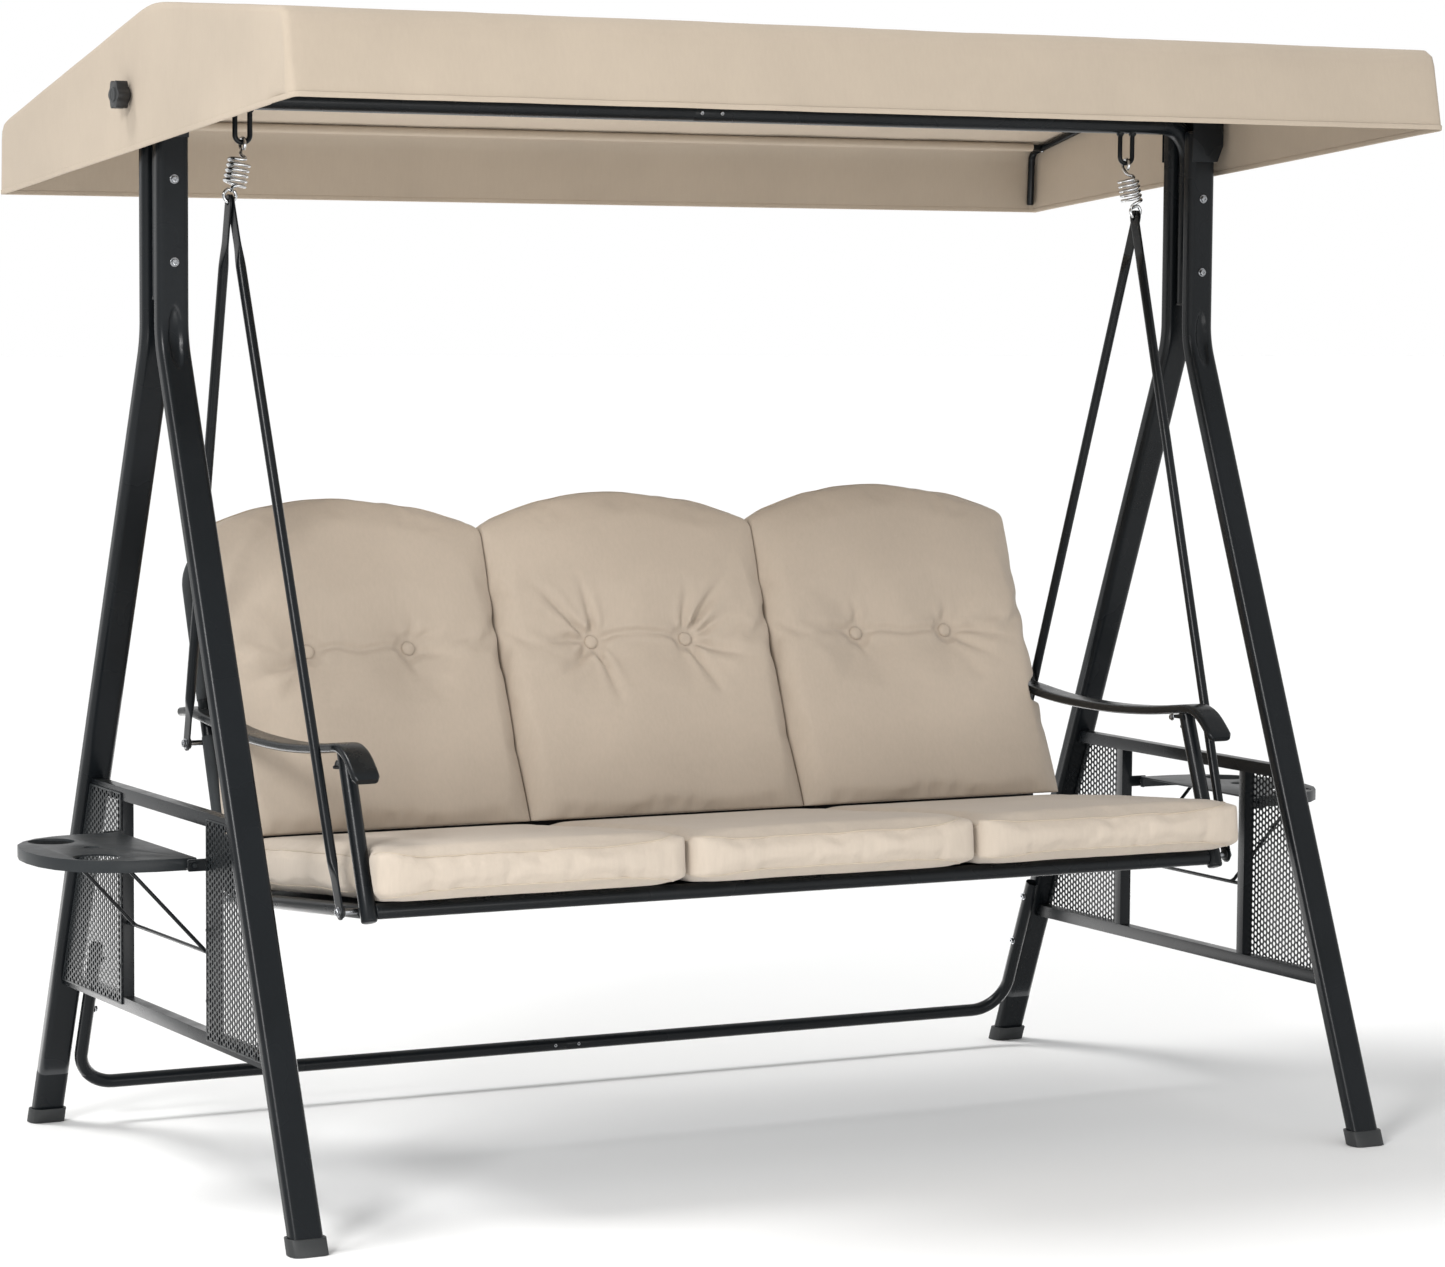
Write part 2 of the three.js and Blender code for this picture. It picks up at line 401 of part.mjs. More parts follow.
// ---------------------------------------------------------------- cushions
const NAMES = ['left', 'middle', 'right'];
const cushionTop = 12.5 + SEAT_CUSHION_T;
NAMES.forEach((name, i) => {
  const cx = (i - 1) * CUSHION_PITCH, w = CUSHION_PITCH / 2 - 2;
  // seat cushion, its lower front edge over the front rail
  const outline = [];
  const y0 = -72, y1 = 505, z0 = 12.6, z1 = cushionTop, r = 22;
  for (const [cy, cz, a0] of [[y1 - r, z1 - r, 0], [y0 + r, z1 - r, 90], [y0 + r, z0 + r, 180], [y1 - r, z0 + r, 270]]) {
    for (let k = 0; k <= 2; k++) { const a = rad(a0 + 45 * k); outline.push([cy + r * Math.cos(a), cz + r * Math.sin(a)]); }
  }
  let seat = place(slabX(outline, cx - w, cx + w), seatM);
  // the outer cushions give way round the front posts
  if (i !== 1) {
    const x = Math.sign(cx) * SEAT_X, up = V(0, postHead.y - postFoot.y, postHead.z - postFoot.z).normalize();
    seat = seat.subtract(solid(sweep([V(x, postFoot.y, postFoot.z).addScaledVector(up, -30), V(x, postHead.y, postHead.z)], ngon(14.5, 14))))
      .subtract(place(box(x, x + Math.sign(cx) * 40, -14, 14, -30, 300), new THREE.Matrix4().makeBasis(V(1, 0, 0), V(0, up.z, -up.y), V(0, up.y, up.z)).setPosition(0, postFoot.y, postFoot.z)));
  }
  add(`seat_cushion_${name}`, seat.decompose().sort((a, b) => b.volume() - a.volume())[0], SEAT_CLOTH());

  // back cushion: side profile cut along the seat cushion's top, front view with an arched head
  const top = BACK_LEN + 64, t = BACK_CUSHION_T;
  const back = -11.8, front = back - t;
  const floorAt = (y) => {
    // the seat cushion's top plane written in the back plane
    const p = inSeat(0, 400, cushionTop + 1.5), q = inSeat(0, 500, cushionTop + 1.5);
    const inv = backM.clone().invert();
    p.applyMatrix4(inv); q.applyMatrix4(inv);
    return p.z + ((y - p.y) * (q.z - p.z)) / (q.y - p.y);
  };
  const side = [[back, floorAt(back)], [back, top - 14], [back - 14, top], [front + 14, top], [front, top - 14], [front, floorAt(front)]];
  const prism = slabX(side, cx - w, cx + w);
  const arch = [];
  const shoulder = BACK_LEN + 6;
  arch.push([-w, -50], [w, -50], [w, shoulder - 16], [w - 6, shoulder - 4], [w - 18, shoulder + 2]);
  for (let k = 1; k < 10; k++) { const u = 1 - (2 * k) / 10; arch.push([(w - 18) * u, shoulder + 2 + (top - shoulder - 2) * (1 - Math.abs(u) ** 2.0)]); }
  arch.push([-w + 18, shoulder + 2], [-w + 6, shoulder - 4], [-w, shoulder - 16]);
  const archPrism = solid(extrude(polygon(arch), 400), new THREE.Matrix4().makeBasis(V(1, 0, 0), V(0, 0, 1), V(0, -1, 0)).setPosition(cx, 200, 0));
  let back3 = place(prism.intersect(archPrism), backM);
  // and round the armrests
  if (i !== 1) back3 = back3.subtract(solid(sweep(armPath(Math.sign(cx)), roundRect(48, 20, 6, 1), V(1, 0, 0))));
  add(`back_cushion_${name}`, back3.decompose().sort((a, b) => b.volume() - a.volume())[0], BACK_CLOTH());
});

// ---------------------------------------------------------------- canopy
const roof = [[595, 1500], [590, 1613], [-87, 1773], [-613, 1743], [-640, 1620]];
const roofRadii = [30, 320, 26];
function profile(inset, drop, seg = 5) {
  // the roof line, moved inwards, as (Y, Z) points from the back hem to the front hem
  const p = roof.map(([y, z]) => V(0, y, z));
  const n = [];
  for (let i = 0; i < p.length - 1; i++) { const d = p[i + 1].clone().sub(p[i]).normalize(); n.push(V(0, -d.z, d.y)); }
  const q = p.map((pt, i) => {
    if (i === 0) return pt.clone().addScaledVector(n[0], inset);
    if (i === p.length - 1) return pt.clone().addScaledVector(n[n.length - 1], inset);
    const a = n[i - 1], b = n[i], k = 1 / (1 + a.dot(b));
    return pt.clone().addScaledVector(a.clone().add(b), inset * k);
  });
  q[0].add(p[0].clone().sub(p[1]).normalize().multiplyScalar(drop));
  q[q.length - 1].add(p[4].clone().sub(p[3]).normalize().multiplyScalar(drop));
  return fillet(q, roofRadii.map((r, i) => Math.max(2, i === 1 ? r : r - inset)), seg).map((v) => [v.y, v.z]);
}
{
  const outer = slabX(profile(0, 0), -CANOPY_X, CANOPY_X);
  const inner = slabX(profile(CANOPY_WALL, 60), -CANOPY_X + CANOPY_WALL, CANOPY_X - CANOPY_WALL);
  let cover = outer.subtract(inner);
  for (const s of [-1, 1]) cover = cover.subtract(rod(V(s * 940, 0, BAR_Z), V(s * 990, 0, BAR_Z), 6, 12));
  add('canopy_cover', cover, CANVAS());
}
const BOW_X = 960.4, BOW_R = 6.2, BOW_IN = CANOPY_WALL + BOW_R + 0.7;
for (const [side, s] of SIDES) {
  const line = profile(BOW_IN, -14).map(([y, z]) => V(s * BOW_X, y, z));
  let bow = solid(sweep(line, ngon(BOW_R, 10)));
  // strap down to the tilt axis, welded to the bow
  const strap = slabX([[-18, BAR_Z - 6], [-12, BAR_Z - 16], [12, BAR_Z - 16], [18, BAR_Z - 6], [18, 1741], [-18, 1750]], s * (BOW_X - 1.5), s * (BOW_X + 1.5));
  bow = bow.add(strap).subtract(rod(V(s * 940, 0, BAR_Z), V(s * 980, 0, BAR_Z), 4.6, 12));
  add(`canopy_bow_${side}`, bow, STEEL());
}
{
  const p = profile(BOW_IN, -14);
  const xr = BOW_X - BOW_R - GAP;
  const at = (target) => {
    // point on the bow line at a given Y on the roof part
    for (let i = 1; i < p.length; i++) {
      const [a, b] = [p[i - 1], p[i]];
      if ((a[0] - target) * (b[0] - target) <= 0 && Math.abs(a[0] - b[0]) > 5) return a[1] + ((target - a[0]) * (b[1] - a[1])) / (b[0] - a[0]);
    }
    return 1650;
  };
  for (const [name, y] of [['canopy_rail_front', -572], ['canopy_rail_back', 545]]) {
    const z = at(y);
    add(name, rod(V(-xr, y, z), V(xr, y, z), BOW_R, 10), STEEL());
  }
}
// clamp knobs: lobed head with its stud through cover, strap and bracket
for (const [side, s] of SIDES) {
  const pts = Array.from({ length: 36 }, (_, i) => {
    const a = (i * Math.PI) / 18, r = 20.5 + 2.5 * Math.cos(6 * a);
    return [r * Math.cos(a), BAR_Z + r * Math.sin(a)];
  });
  let k = slabX(pts, s * (CANOPY_X + 5), s * (CANOPY_X + 23));
  k = k.add(rod(V(s * (CANOPY_X + 0.5), 0, BAR_Z), V(s * (CANOPY_X + 8), 0, BAR_Z), 13, 14)).add(rod(V(s * 938, 0, BAR_Z), V(s * (CANOPY_X + 10), 0, BAR_Z), 4, 10));
  add(`canopy_knob_${side}`, k, PLASTIC());
}

// ---------------------------------------------------------------- side trays
const trayHalf = (inset) => [[0, 168], [60, 168], [105, 161], [142, 144], [170, 118], [190, 84], [201, 44], [204, 0]].map(([s, w]) => [Math.max(s - (s > 60 ? inset : 0), s === 0 ? 0 : 0), Math.max(w - inset, 0)]);
const CUPS = [[-131, 100, 35.5, 20], [-131, -100, 35.5, 20], [-98, 12, 12.5, 14]];
function trayOutline(inset, start) {
  const h = trayHalf(inset);
  const up = h.map(([s, w]) => [s, w]), down = h.slice(0, -1).reverse().map(([s, w]) => [s, -w]);
  const all = up.concat(down);
  all[0][0] = start; all[all.length - 1][0] = start;
  return all;
}
for (const [side, s] of SIDES) {
  const edge = TRAY_AXIS_X - 10;                       // inner edge of the tray, inboard of its pins
  const base = (z) => new THREE.Matrix4().makeBasis(V(s, 0, 0), V(0, 1, 0), V(0, 0, s < 0 ? -1 : 1)).setPosition(s * edge, UPRIGHT_C, z);
  const flat = (outline, z0, z1, holes = []) => {
    const sh = polygon(outline.slice().reverse());
    for (const [d, w, r, n] of holes) sh.holes.push(new THREE.Path(Array.from({ length: n }, (_, i) => new THREE.Vector2(-d + r * Math.cos((i * 2 * Math.PI) / n), w + r * Math.sin((i * 2 * Math.PI) / n)))));
    const g = extrude(sh, z1 - z0);
    return solid(g, base(s < 0 ? z1 : z0));
  };
  const topT = 3;
  let t = flat(trayOutline(0, 0), TRAY_TOP_Z - TRAY_SKIRT, TRAY_TOP_Z, CUPS)
    .subtract(flat(trayOutline(3, 3), TRAY_TOP_Z - TRAY_SKIRT - 5, TRAY_TOP_Z - topT));
  // the skirt is cut away along the inner edge, which leaves room for the frame
  t = t.subtract(box(s * (edge - 1), s * (edge + 4), UPRIGHT_C - 160, UPRIGHT_C + 160, TRAY_TOP_Z - TRAY_SKIRT - 2, TRAY_TOP_Z - topT));
  for (const e of [-1, 1]) t = t.add(rod(V(s * TRAY_AXIS_X, UPRIGHT_C + e * 166, TRAY_AXIS_Z), V(s * TRAY_AXIS_X, UPRIGHT_C + e * 189, TRAY_AXIS_Z), 3.2, 12));
  add(`tray_${side}`, t, STEEL());
  // wire prop
  const pts = fillet([V(s * WIRE_TOP_X, UPRIGHT_C - WIRE_HALF, WIRE_TOP_Z), V(s * POST_X, UPRIGHT_C - WIRE_HALF, WIRE_Z), V(s * POST_X, UPRIGHT_C + WIRE_HALF, WIRE_Z), V(s * WIRE_TOP_X, UPRIGHT_C + WIRE_HALF, WIRE_TOP_Z)], [8, 8], 3);
  let w = solid(sweep(pts, ngon(WIRE_R, 8)));
  w = w.add(rod(V(s * POST_X, UPRIGHT_C - UPRIGHT_Y + UPRIGHT_S / 2 + 0.5, WIRE_Z), V(s * POST_X, UPRIGHT_C + UPRIGHT_Y - UPRIGHT_S / 2 - 0.5, WIRE_Z), WIRE_R, 8));
  add(`tray_wire_${side}`, w, STEEL());
}

export default model;
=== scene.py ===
import bpy
import bmesh
import json
import math
import numpy as np
from mathutils import Vector, Matrix, noise
from mathutils.bvhtree import BVHTree


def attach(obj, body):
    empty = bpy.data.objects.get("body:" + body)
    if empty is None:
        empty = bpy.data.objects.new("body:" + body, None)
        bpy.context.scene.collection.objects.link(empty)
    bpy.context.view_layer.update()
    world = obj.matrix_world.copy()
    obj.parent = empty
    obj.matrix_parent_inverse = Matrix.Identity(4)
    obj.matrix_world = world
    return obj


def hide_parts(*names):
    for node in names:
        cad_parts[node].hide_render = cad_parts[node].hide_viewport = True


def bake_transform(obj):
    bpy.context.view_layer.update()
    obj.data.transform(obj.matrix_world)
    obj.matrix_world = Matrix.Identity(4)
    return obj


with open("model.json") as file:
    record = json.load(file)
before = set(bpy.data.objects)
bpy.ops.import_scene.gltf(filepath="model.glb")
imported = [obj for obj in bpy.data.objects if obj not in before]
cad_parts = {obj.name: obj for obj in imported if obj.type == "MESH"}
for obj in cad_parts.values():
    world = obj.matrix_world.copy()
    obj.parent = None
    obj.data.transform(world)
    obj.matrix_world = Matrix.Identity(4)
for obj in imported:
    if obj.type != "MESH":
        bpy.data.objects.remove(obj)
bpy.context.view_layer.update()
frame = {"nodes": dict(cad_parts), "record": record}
NODES = frame["nodes"]
scene = bpy.context.scene
MM = 0.001

# The drawing plane of the part: all lengths below are millimetres in it.
Y_AXIS, LIFT = 22.5, 6.0


def G(p):
    """Drawing-plane millimetres to the row frame in metres."""
    p = np.asarray(p, float)
    return (p + np.array([0.0, Y_AXIS, LIFT])) * MM


# ------------------------------------------------------------------ materials
def lin(c):
    c = np.asarray(c, float) / 255.0
    return tuple(np.where(c <= 0.04045, c / 12.92, ((c + 0.055) / 1.055) ** 2.4)) + (1.0,)


class Mat:
    def __init__(self, name):
        self.m = bpy.data.materials.new(name)
        self.m.use_nodes = True
        self.nt = self.m.node_tree
        self.nt.nodes.clear()
        self.out = self.node("ShaderNodeOutputMaterial")
        self.b = self.node("ShaderNodeBsdfPrincipled")
        self.link(self.b.outputs[0], self.out.inputs[0])
        self.tc = self.node("ShaderNodeTexCoord")

    def node(self, kind, **kw):
        n = self.nt.nodes.new(kind)
        for k, v in kw.items():
            setattr(n, k, v)
        return n

    def link(self, a, b):
        self.nt.links.new(a, b)

    def put(self, socket, value):
        if hasattr(value, "is_output"):
            self.link(value, socket)
        else:
            socket.default_value = value

    def math(self, op, a, b=0.0, clamp=False):
        n = self.node("ShaderNodeMath", operation=op, use_clamp=clamp)
        self.put(n.inputs[0], a)
        self.put(n.inputs[1], b)
        return n.outputs[0]

    def noise(self, scale, detail=2.0, rough=0.5, vec=None, stretch=None):
        v = vec or self.tc.outputs["Object"]
        if stretch:
            mp = self.node("ShaderNodeMapping")
            mp.inputs["Scale"].default_value = stretch
            self.link(v, mp.inputs["Vector"])
            v = mp.outputs[0]
        n = self.node("ShaderNodeTexNoise")
        n.inputs["Scale"].default_value = scale
        n.inputs["Detail"].default_value = detail
        n.inputs["Roughness"].default_value = rough
        self.link(v, n.inputs["Vector"])
        return n.outputs[0]

    def ramp(self, fac, lo, hi):
        n = self.node("ShaderNodeMapRange")
        n.inputs["From Min"].default_value = lo
        n.inputs["From Max"].default_value = hi
        self.link(fac, n.inputs["Value"])
        return n.outputs[0]

    def mix(self, fac, a, b):
        n = self.node("ShaderNodeMix", data_type="RGBA")
        self.put(n.inputs[0], fac)
        self.put(n.inputs[6], a)
        self.put(n.inputs[7], b)
        return n.outputs[2]

    def bump(self, height, strength, distance, normal=None):
        n = self.node("ShaderNodeBump")
        n.inputs["Strength"].default_value = strength
        n.inputs["Distance"].default_value = distance
        self.link(height, n.inputs["Height"])
        if normal:
            self.link(normal, n.inputs["Normal"])
        return n.outputs[0]

    def set(self, **kw):
        for k, v in kw.items():
            self.put(self.b.inputs[k.replace("_", " ")], v)
        return self


def powder(name, dark=(14, 17, 19), light=(23, 26, 29), rough=0.27):
    """Satin powder coat: slight orange peel, faint mottling, a little dust on upward faces."""
    M = Mat(name)
    broad, fine = M.noise(5.5, 3), M.noise(330, 2)
    fac = M.math("ADD", M.math("MULTIPLY", M.ramp(broad, 0.3, 0.7), 0.65), M.math("MULTIPLY", fine, 0.35), True)
    colour = M.mix(fac, lin(dark), lin(light))
    # a faint grey film where dust settles on upward faces
    geo = M.node("ShaderNodeNewGeometry")
    sep = M.node("ShaderNodeSeparateXYZ")
    M.link(geo.outputs["Normal"], sep.inputs[0])
    dust = M.math("MULTIPLY", M.ramp(sep.outputs[2], 0.55, 1.0), M.ramp(M.noise(26, 4, 0.6), 0.35, 0.75))
    colour = M.mix(M.math("MULTIPLY", dust, 0.10), colour, lin((120, 118, 112)))
    M.set(Base_Color=colour)
    r = M.math("ADD", rough, M.math("MULTIPLY", M.math("SUBTRACT", broad, 0.5), 0.12))
    r = M.math("ADD", r, M.math("MULTIPLY", dust, 0.12))
    M.set(Roughness=r)
    M.b.inputs["Specular IOR Level"].default_value = 0.17
    M.b.inputs["Coat Weight"].default_value = 0.05
    M.b.inputs["Coat Roughness"].default_value = 0.22
    peel = M.bump(M.noise(620, 2, 0.45), 0.16, 0.0004)
    M.set(Normal=M.bump(M.noise(95, 2, 0.5), 0.05, 0.0012, peel))
    return M.m


def metal(name, base=(196, 198, 200), rough=0.22, brushed=0.0):
    M = Mat(name)
    n = M.noise(160, 3, 0.6)
    streak = M.noise(900, 2, 0.6, stretch=(1.0, 1.0, 0.05)) if brushed else n
    M.set(Base_Color=M.mix(n, lin(np.array(base) * 0.86), lin(base)))
    M.set(Metallic=1.0)
    M.set(Roughness=M.math("ADD", rough - 0.05, M.math("MULTIPLY", n, 0.12)))
    M.set(Normal=M.bump(streak, 0.12, 0.0002))
    return M.m


def plastic(name, dark=(11, 12, 14), light=(19, 21, 23), rough=0.42):
    M = Mat(name)
    n, grain = M.noise(18, 3), M.noise(900, 2, 0.6)
    M.set(Base_Color=M.mix(n, lin(dark), lin(light)))
    M.set(Roughness=M.math("ADD", rough - 0.06, M.math("MULTIPLY", grain, 0.14)))
    M.set(Normal=M.bump(grain, 0.22, 0.0003))
    return M.m


def fabric(name, srgb, spread=0.055, period=0.0017, weave=0.22, rough=0.93, sheen=0.18, slub=0.5):
    """Plain weave from object coordinates, with slubs, slight unevenness of shade and a soft nap."""
    M = Mat(name)
    sep, nrm = M.node("ShaderNodeSeparateXYZ"), M.node("ShaderNodeSeparateXYZ")
    M.link(M.tc.outputs["Object"], sep.inputs[0])
    M.link(M.tc.outputs["Normal"], nrm.inputs[0])
    k = 2 * math.pi / period
    wob = M.math("MULTIPLY", M.math("SUBTRACT", M.noise(40, 2), 0.5), 5.0)
    s = [M.math("SINE", M.math("ADD", M.math("MULTIPLY", sep.outputs[i], k), wob)) for i in range(3)]
    w = [M.math("MULTIPLY", nrm.outputs[i], nrm.outputs[i]) for i in range(3)]
    h = M.math("MULTIPLY", w[0], M.math("MULTIPLY", s[1], s[2]))
    h = M.math("ADD", h, M.math("MULTIPLY", w[1], M.math("MULTIPLY", s[0], s[2])))
    h = M.math("ADD", h, M.math("MULTIPLY", w[2], M.math("MULTIPLY", s[0], s[1])))
    slubs = M.math("MULTIPLY", M.math("SUBTRACT", M.noise(210, 3, 0.6, stretch=(1.0, 1.0, 0.16)), 0.5), slub)
    cloud = M.math("MULTIPLY", M.math("SUBTRACT", M.noise(3.2, 4, 0.6), 0.5), 1.1)
    fac = M.math("ADD", M.math("ADD", M.math("MULTIPLY", h, 0.16), 0.5), M.math("ADD", slubs, cloud), True)
    c = np.array(srgb, float)
    M.set(Base_Color=M.mix(fac, lin(c * (1 - spread)), lin(np.minimum(c * (1 + spread), 250))))
    M.set(Roughness=M.math("ADD", rough - 0.04, M.math("MULTIPLY", slubs, 0.08)))
    M.b.inputs["Sheen Weight"].default_value = sheen
    M.b.inputs["Sheen Roughness"].default_value = 0.45
    M.b.inputs["Specular IOR Level"].default_value = 0.25
    soft = M.bump(M.noise(75, 4, 0.6), 0.12, 0.0016)
    M.set(Normal=M.bump(M.math("ADD", h, slubs), weave, 0.0005, soft))
    return M.m


PAINT = powder("paint_charcoal")
PAINT_ARM = powder("paint_armrest", (16, 18, 20), (25, 28, 30), 0.25)
PAINT_TRAY = powder("paint_tray", (30, 33, 35), (44, 47, 49), 0.38)
PANEL = powder("paint_panel", (24, 27, 29), (38, 41, 43), 0.36)
BLACK = plastic("plastic_black")
CAP = plastic("plastic_foot", (28, 30, 31), (40, 42, 43), 0.55)
ZINC = metal("zinc_bolt", (158, 160, 163), 0.24, 1.0)
CHROME = metal("spring_bright", (214, 216, 218), 0.14)
SEAT_CLOTH = fabric("cloth_seat", (186, 174, 160))
BACK_CLOTH = fabric("cloth_back", (181, 168, 153))
BUTTON_CLOTH = fabric("cloth_button", (180, 167, 152), weave=0.3)
CANVAS = fabric("cloth_canopy", (170, 157, 141), period=0.0013, weave=0.14, rough=0.86, sheen=0.08, slub=0.3)
PIPING = fabric("cloth_seam", (174, 160, 143), weave=0.3)
PIPING_SEAT = fabric("cloth_seam_seat", (182, 169, 152), weave=0.3)
SLING = fabric("cloth_sling", (46, 49, 51), spread=0.25, period=0.0022, weave=0.5, rough=0.75, sheen=0.05)


# ------------------------------------------------------------------ mesh helpers
def shade(ob, angle=42.0):
    bm = bmesh.new()
    bm.from_mesh(ob.data)
    a = math.radians(angle)
    for f in bm.faces:
        f.smooth = True
    for e in bm.edges:
        e.smooth = len(e.link_faces) == 2 and e.calc_face_angle(0.0) < a
    bm.to_mesh(ob.data)
    bm.free()
    return ob


def make(name, verts, faces, mat, angle=42.0):
    me = bpy.data.meshes.new(name)
    me.from_pydata([tuple(map(float, v)) for v in verts], [], faces)
    me.validate()
    me.update()
    ob = bpy.data.objects.new(name, me)
    scene.collection.objects.link(ob)
    me.materials.append(mat)
    bm = bmesh.new()
    bm.from_mesh(me)
    bmesh.ops.recalc_face_normals(bm, faces=bm.faces)
    bm.to_mesh(me)
    bm.free()
    return shade(ob, angle)


def coords(me):
    a = np.zeros(len(me.vertices) * 3, np.float32)
    me.vertices.foreach_get("co", a)
    return a.reshape(-1, 3).astype(float)


def put_coords(me, co):
    me.vertices.foreach_set("co", np.ascontiguousarray(co, np.float32).ravel())
    me.update()


def vnormals(me):
    me.update()
    n = np.zeros(len(me.vertices) * 3, np.float32)
    me.vertices.foreach_get("normal", n)
    return n.reshape(-1, 3).astype(float)


def applied(ob):
    """Bakes the modifiers of an object into its mesh."""
    dg = bpy.context.evaluated_depsgraph_get()
    me = bpy.data.meshes.new_from_object(ob.evaluated_get(dg))
    ob.modifiers.clear()
    old = ob.data
    ob.data = me
    bpy.data.meshes.remove(old)
    return ob


def fillet(P, radii, seg=8):
    P = [np.asarray(p, float) for p in P]
    out = [P[0]]
    for i in range(1, len(P) - 1):
        a, b, c, r = P[i - 1], P[i], P[i + 1], radii[i - 1]
        u, v = (a - b), (c - b)
        lu, lv = np.linalg.norm(u), np.linalg.norm(v)
        u, v = u / lu, v / lv
        ang = math.acos(float(np.clip(u @ v, -1, 1)))
        if ang > math.pi - 1e-3 or r <= 0:
            out.append(b)
            continue
        t = min(r / math.tan(ang / 2), 0.49 * lu, 0.49 * lv)
        r = t * math.tan(ang / 2)
        w = (u + v) / np.linalg.norm(u + v)
        centre = b + w * (r / math.sin(ang / 2))
        p0, p1 = b + u * t - centre, b + v * t - centre
        om = math.acos(float(np.clip(p0 @ p1 / (r * r), -1, 1)))
        for k in range(seg + 1):
            s = k / seg
            out.append(centre + (math.sin((1 - s) * om) * p0 + math.sin(s * om) * p1) / math.sin(om))
    out.append(P[-1])
    return out


def resample(P, step):
    P = np.array(P, float)
    d = np.r_[0, np.cumsum(np.linalg.norm(np.diff(P, axis=0), axis=1))]
    n = max(2, int(round(d[-1] / step)) + 1)
    t = np.linspace(0, d[-1], n)
    return np.stack([np.interp(t, d, P[:, i]) for i in range(P.shape[1])], 1)


def circle(r, n=20):
    a = np.arange(n) * 2 * math.pi / n
    return np.stack([r * np.cos(a), r * np.sin(a)], 1)


def round_rect(w, d, r, seg=5, flat=1):
    """Closed outline, width along the first axis."""
    pts = []
    for cx, cy, a0 in [(w / 2 - r, d / 2 - r, 0), (-w / 2 + r, d / 2 - r, 90), (-w / 2 + r, -d / 2 + r, 180), (w / 2 - r, -d / 2 + r, 270)]:
        for k in range(seg + 1):
            a = math.radians(a0 + 90 * k / seg)
            pts.append((cx + r * math.cos(a), cy + r * math.sin(a)))
    pts = np.array(pts)
    if flat > 1:
        out = []
        for i, p in enumerate(pts):
            q = pts[(i + 1) % len(pts)]
            n = flat if np.linalg.norm(q - p) > 0.25 * min(w, d) else 1
            for k in range(n):
                out.append(p + (q - p) * k / n)
        pts = np.array(out)
    return pts


def sweep(name, path, section, mat, across=(1, 0, 0), scale=None, cap="flat", closed=False, angle=42.0, world=True):
    """section is one outline, or a function of (index, count) that gives one, carried along path (drawing-plane mm)."""
    P = np.array(path, float)
    P = P[np.r_[True, np.linalg.norm(np.diff(P, axis=0), axis=1) > 1e-4]]
    n = len(P)
    T = np.zeros_like(P)
    if closed:
        T = np.roll(P, -1, 0) - np.roll(P, 1, 0)
    else:
        seg = np.diff(P, axis=0)
        seg /= np.linalg.norm(seg, axis=1)[:, None]
        T[0], T[-1] = seg[0], seg[-1]
        T[1:-1] = seg[:-1] + seg[1:]
    T /= np.linalg.norm(T, axis=1)[:, None]
    rings = []
    prev = None
    for i in range(n):
        if across is not None:
            u = np.array(across, float)
            u = u - (u @ T[i]) * T[i]
        else:
            if prev is None:
                u = np.array([1.0, 0, 0]) if abs(T[i][0]) < 0.8 else np.array([0, 1.0, 0])
            else:
                u = prev
            u = u - (u @ T[i]) * T[i]
        u /= np.linalg.norm(u)
        prev = u
        w = np.cross(T[i], u)
        s = section(i, n) if callable(section) else section
        k = scale[i] if scale is not None else 1.0
        rings.append(P[i] + np.outer(s[:, 0] * k, u) + np.outer(s[:, 1] * k, w))
    m = len(rings[0])
    if cap == "round" and not closed:
        for end, sign in ((0, -1), (n - 1, 1)):
            base, c, t = rings[end], P[end], T[end] * sign
            r = np.abs(base - c).max() * 0.28
            extra = []
            for k in (1, 2, 3):
                a = math.pi / 2 * k / 3
                extra.append(c + (base - c) * (1 - (1 - math.cos(a)) * 0.28) + t * r * math.sin(a))
            if sign < 0:
                rings = extra[::-1] + rings
                P = np.vstack([P[:1]] * 3 + [P])
                T = np.vstack([T[:1]] * 3 + [T])
                n += 3
            else:
                rings = rings + extra
    V = np.vstack(rings)
    R = len(rings)
    F = []
    for i in range(R if closed else R - 1):
        a, b = i * m, ((i + 1) % R) * m
        for j in range(m):
            k = (j + 1) % m
            F.append((a + j, a + k, b + k, b + j))
    if not closed and cap:
        F.append(tuple(range(m))[::-1])
        F.append(tuple((R - 1) * m + j for j in range(m)))
    return make(name, G(V) if world else V * MM, F, mat, angle)


def tube(name, path, r, mat, n=22, cap="round", **kw):
    return sweep(name, path, circle(r, n), mat, across=None, cap=cap, **kw)


def lathe(name, profile, centre, axis, mat, n=24, angle=38.0):
    """profile is (radius, height) pairs from one end to the other, about axis, in drawing-plane mm."""
    ax = np.array(axis, float)
    ax /= np.linalg.norm(ax)
    u = np.cross(ax, [0.0, 0, 1]) if abs(ax[2]) < 0.9 else np.cross(ax, [1.0, 0, 0])
    u /= np.linalg.norm(u)
    w = np.cross(ax, u)
    V, F = [], []
    c = np.array(centre, float)
    for r, h in profile:
        for k in range(n):
            a = 2 * math.pi * k / n
            V.append(c + ax * h + (u * math.cos(a) + w * math.sin(a)) * max(r, 0.02))
    for i in range(len(profile) - 1):
        for k in range(n):
            q = (k + 1) % n
            F.append((i * n + k, i * n + q, (i + 1) * n + q, (i + 1) * n + k))
    F.append(tuple(range(n))[::-1])
    F.append(tuple((len(profile) - 1) * n + k for k in range(n)))
    return make(name, G(V), F, mat, angle)


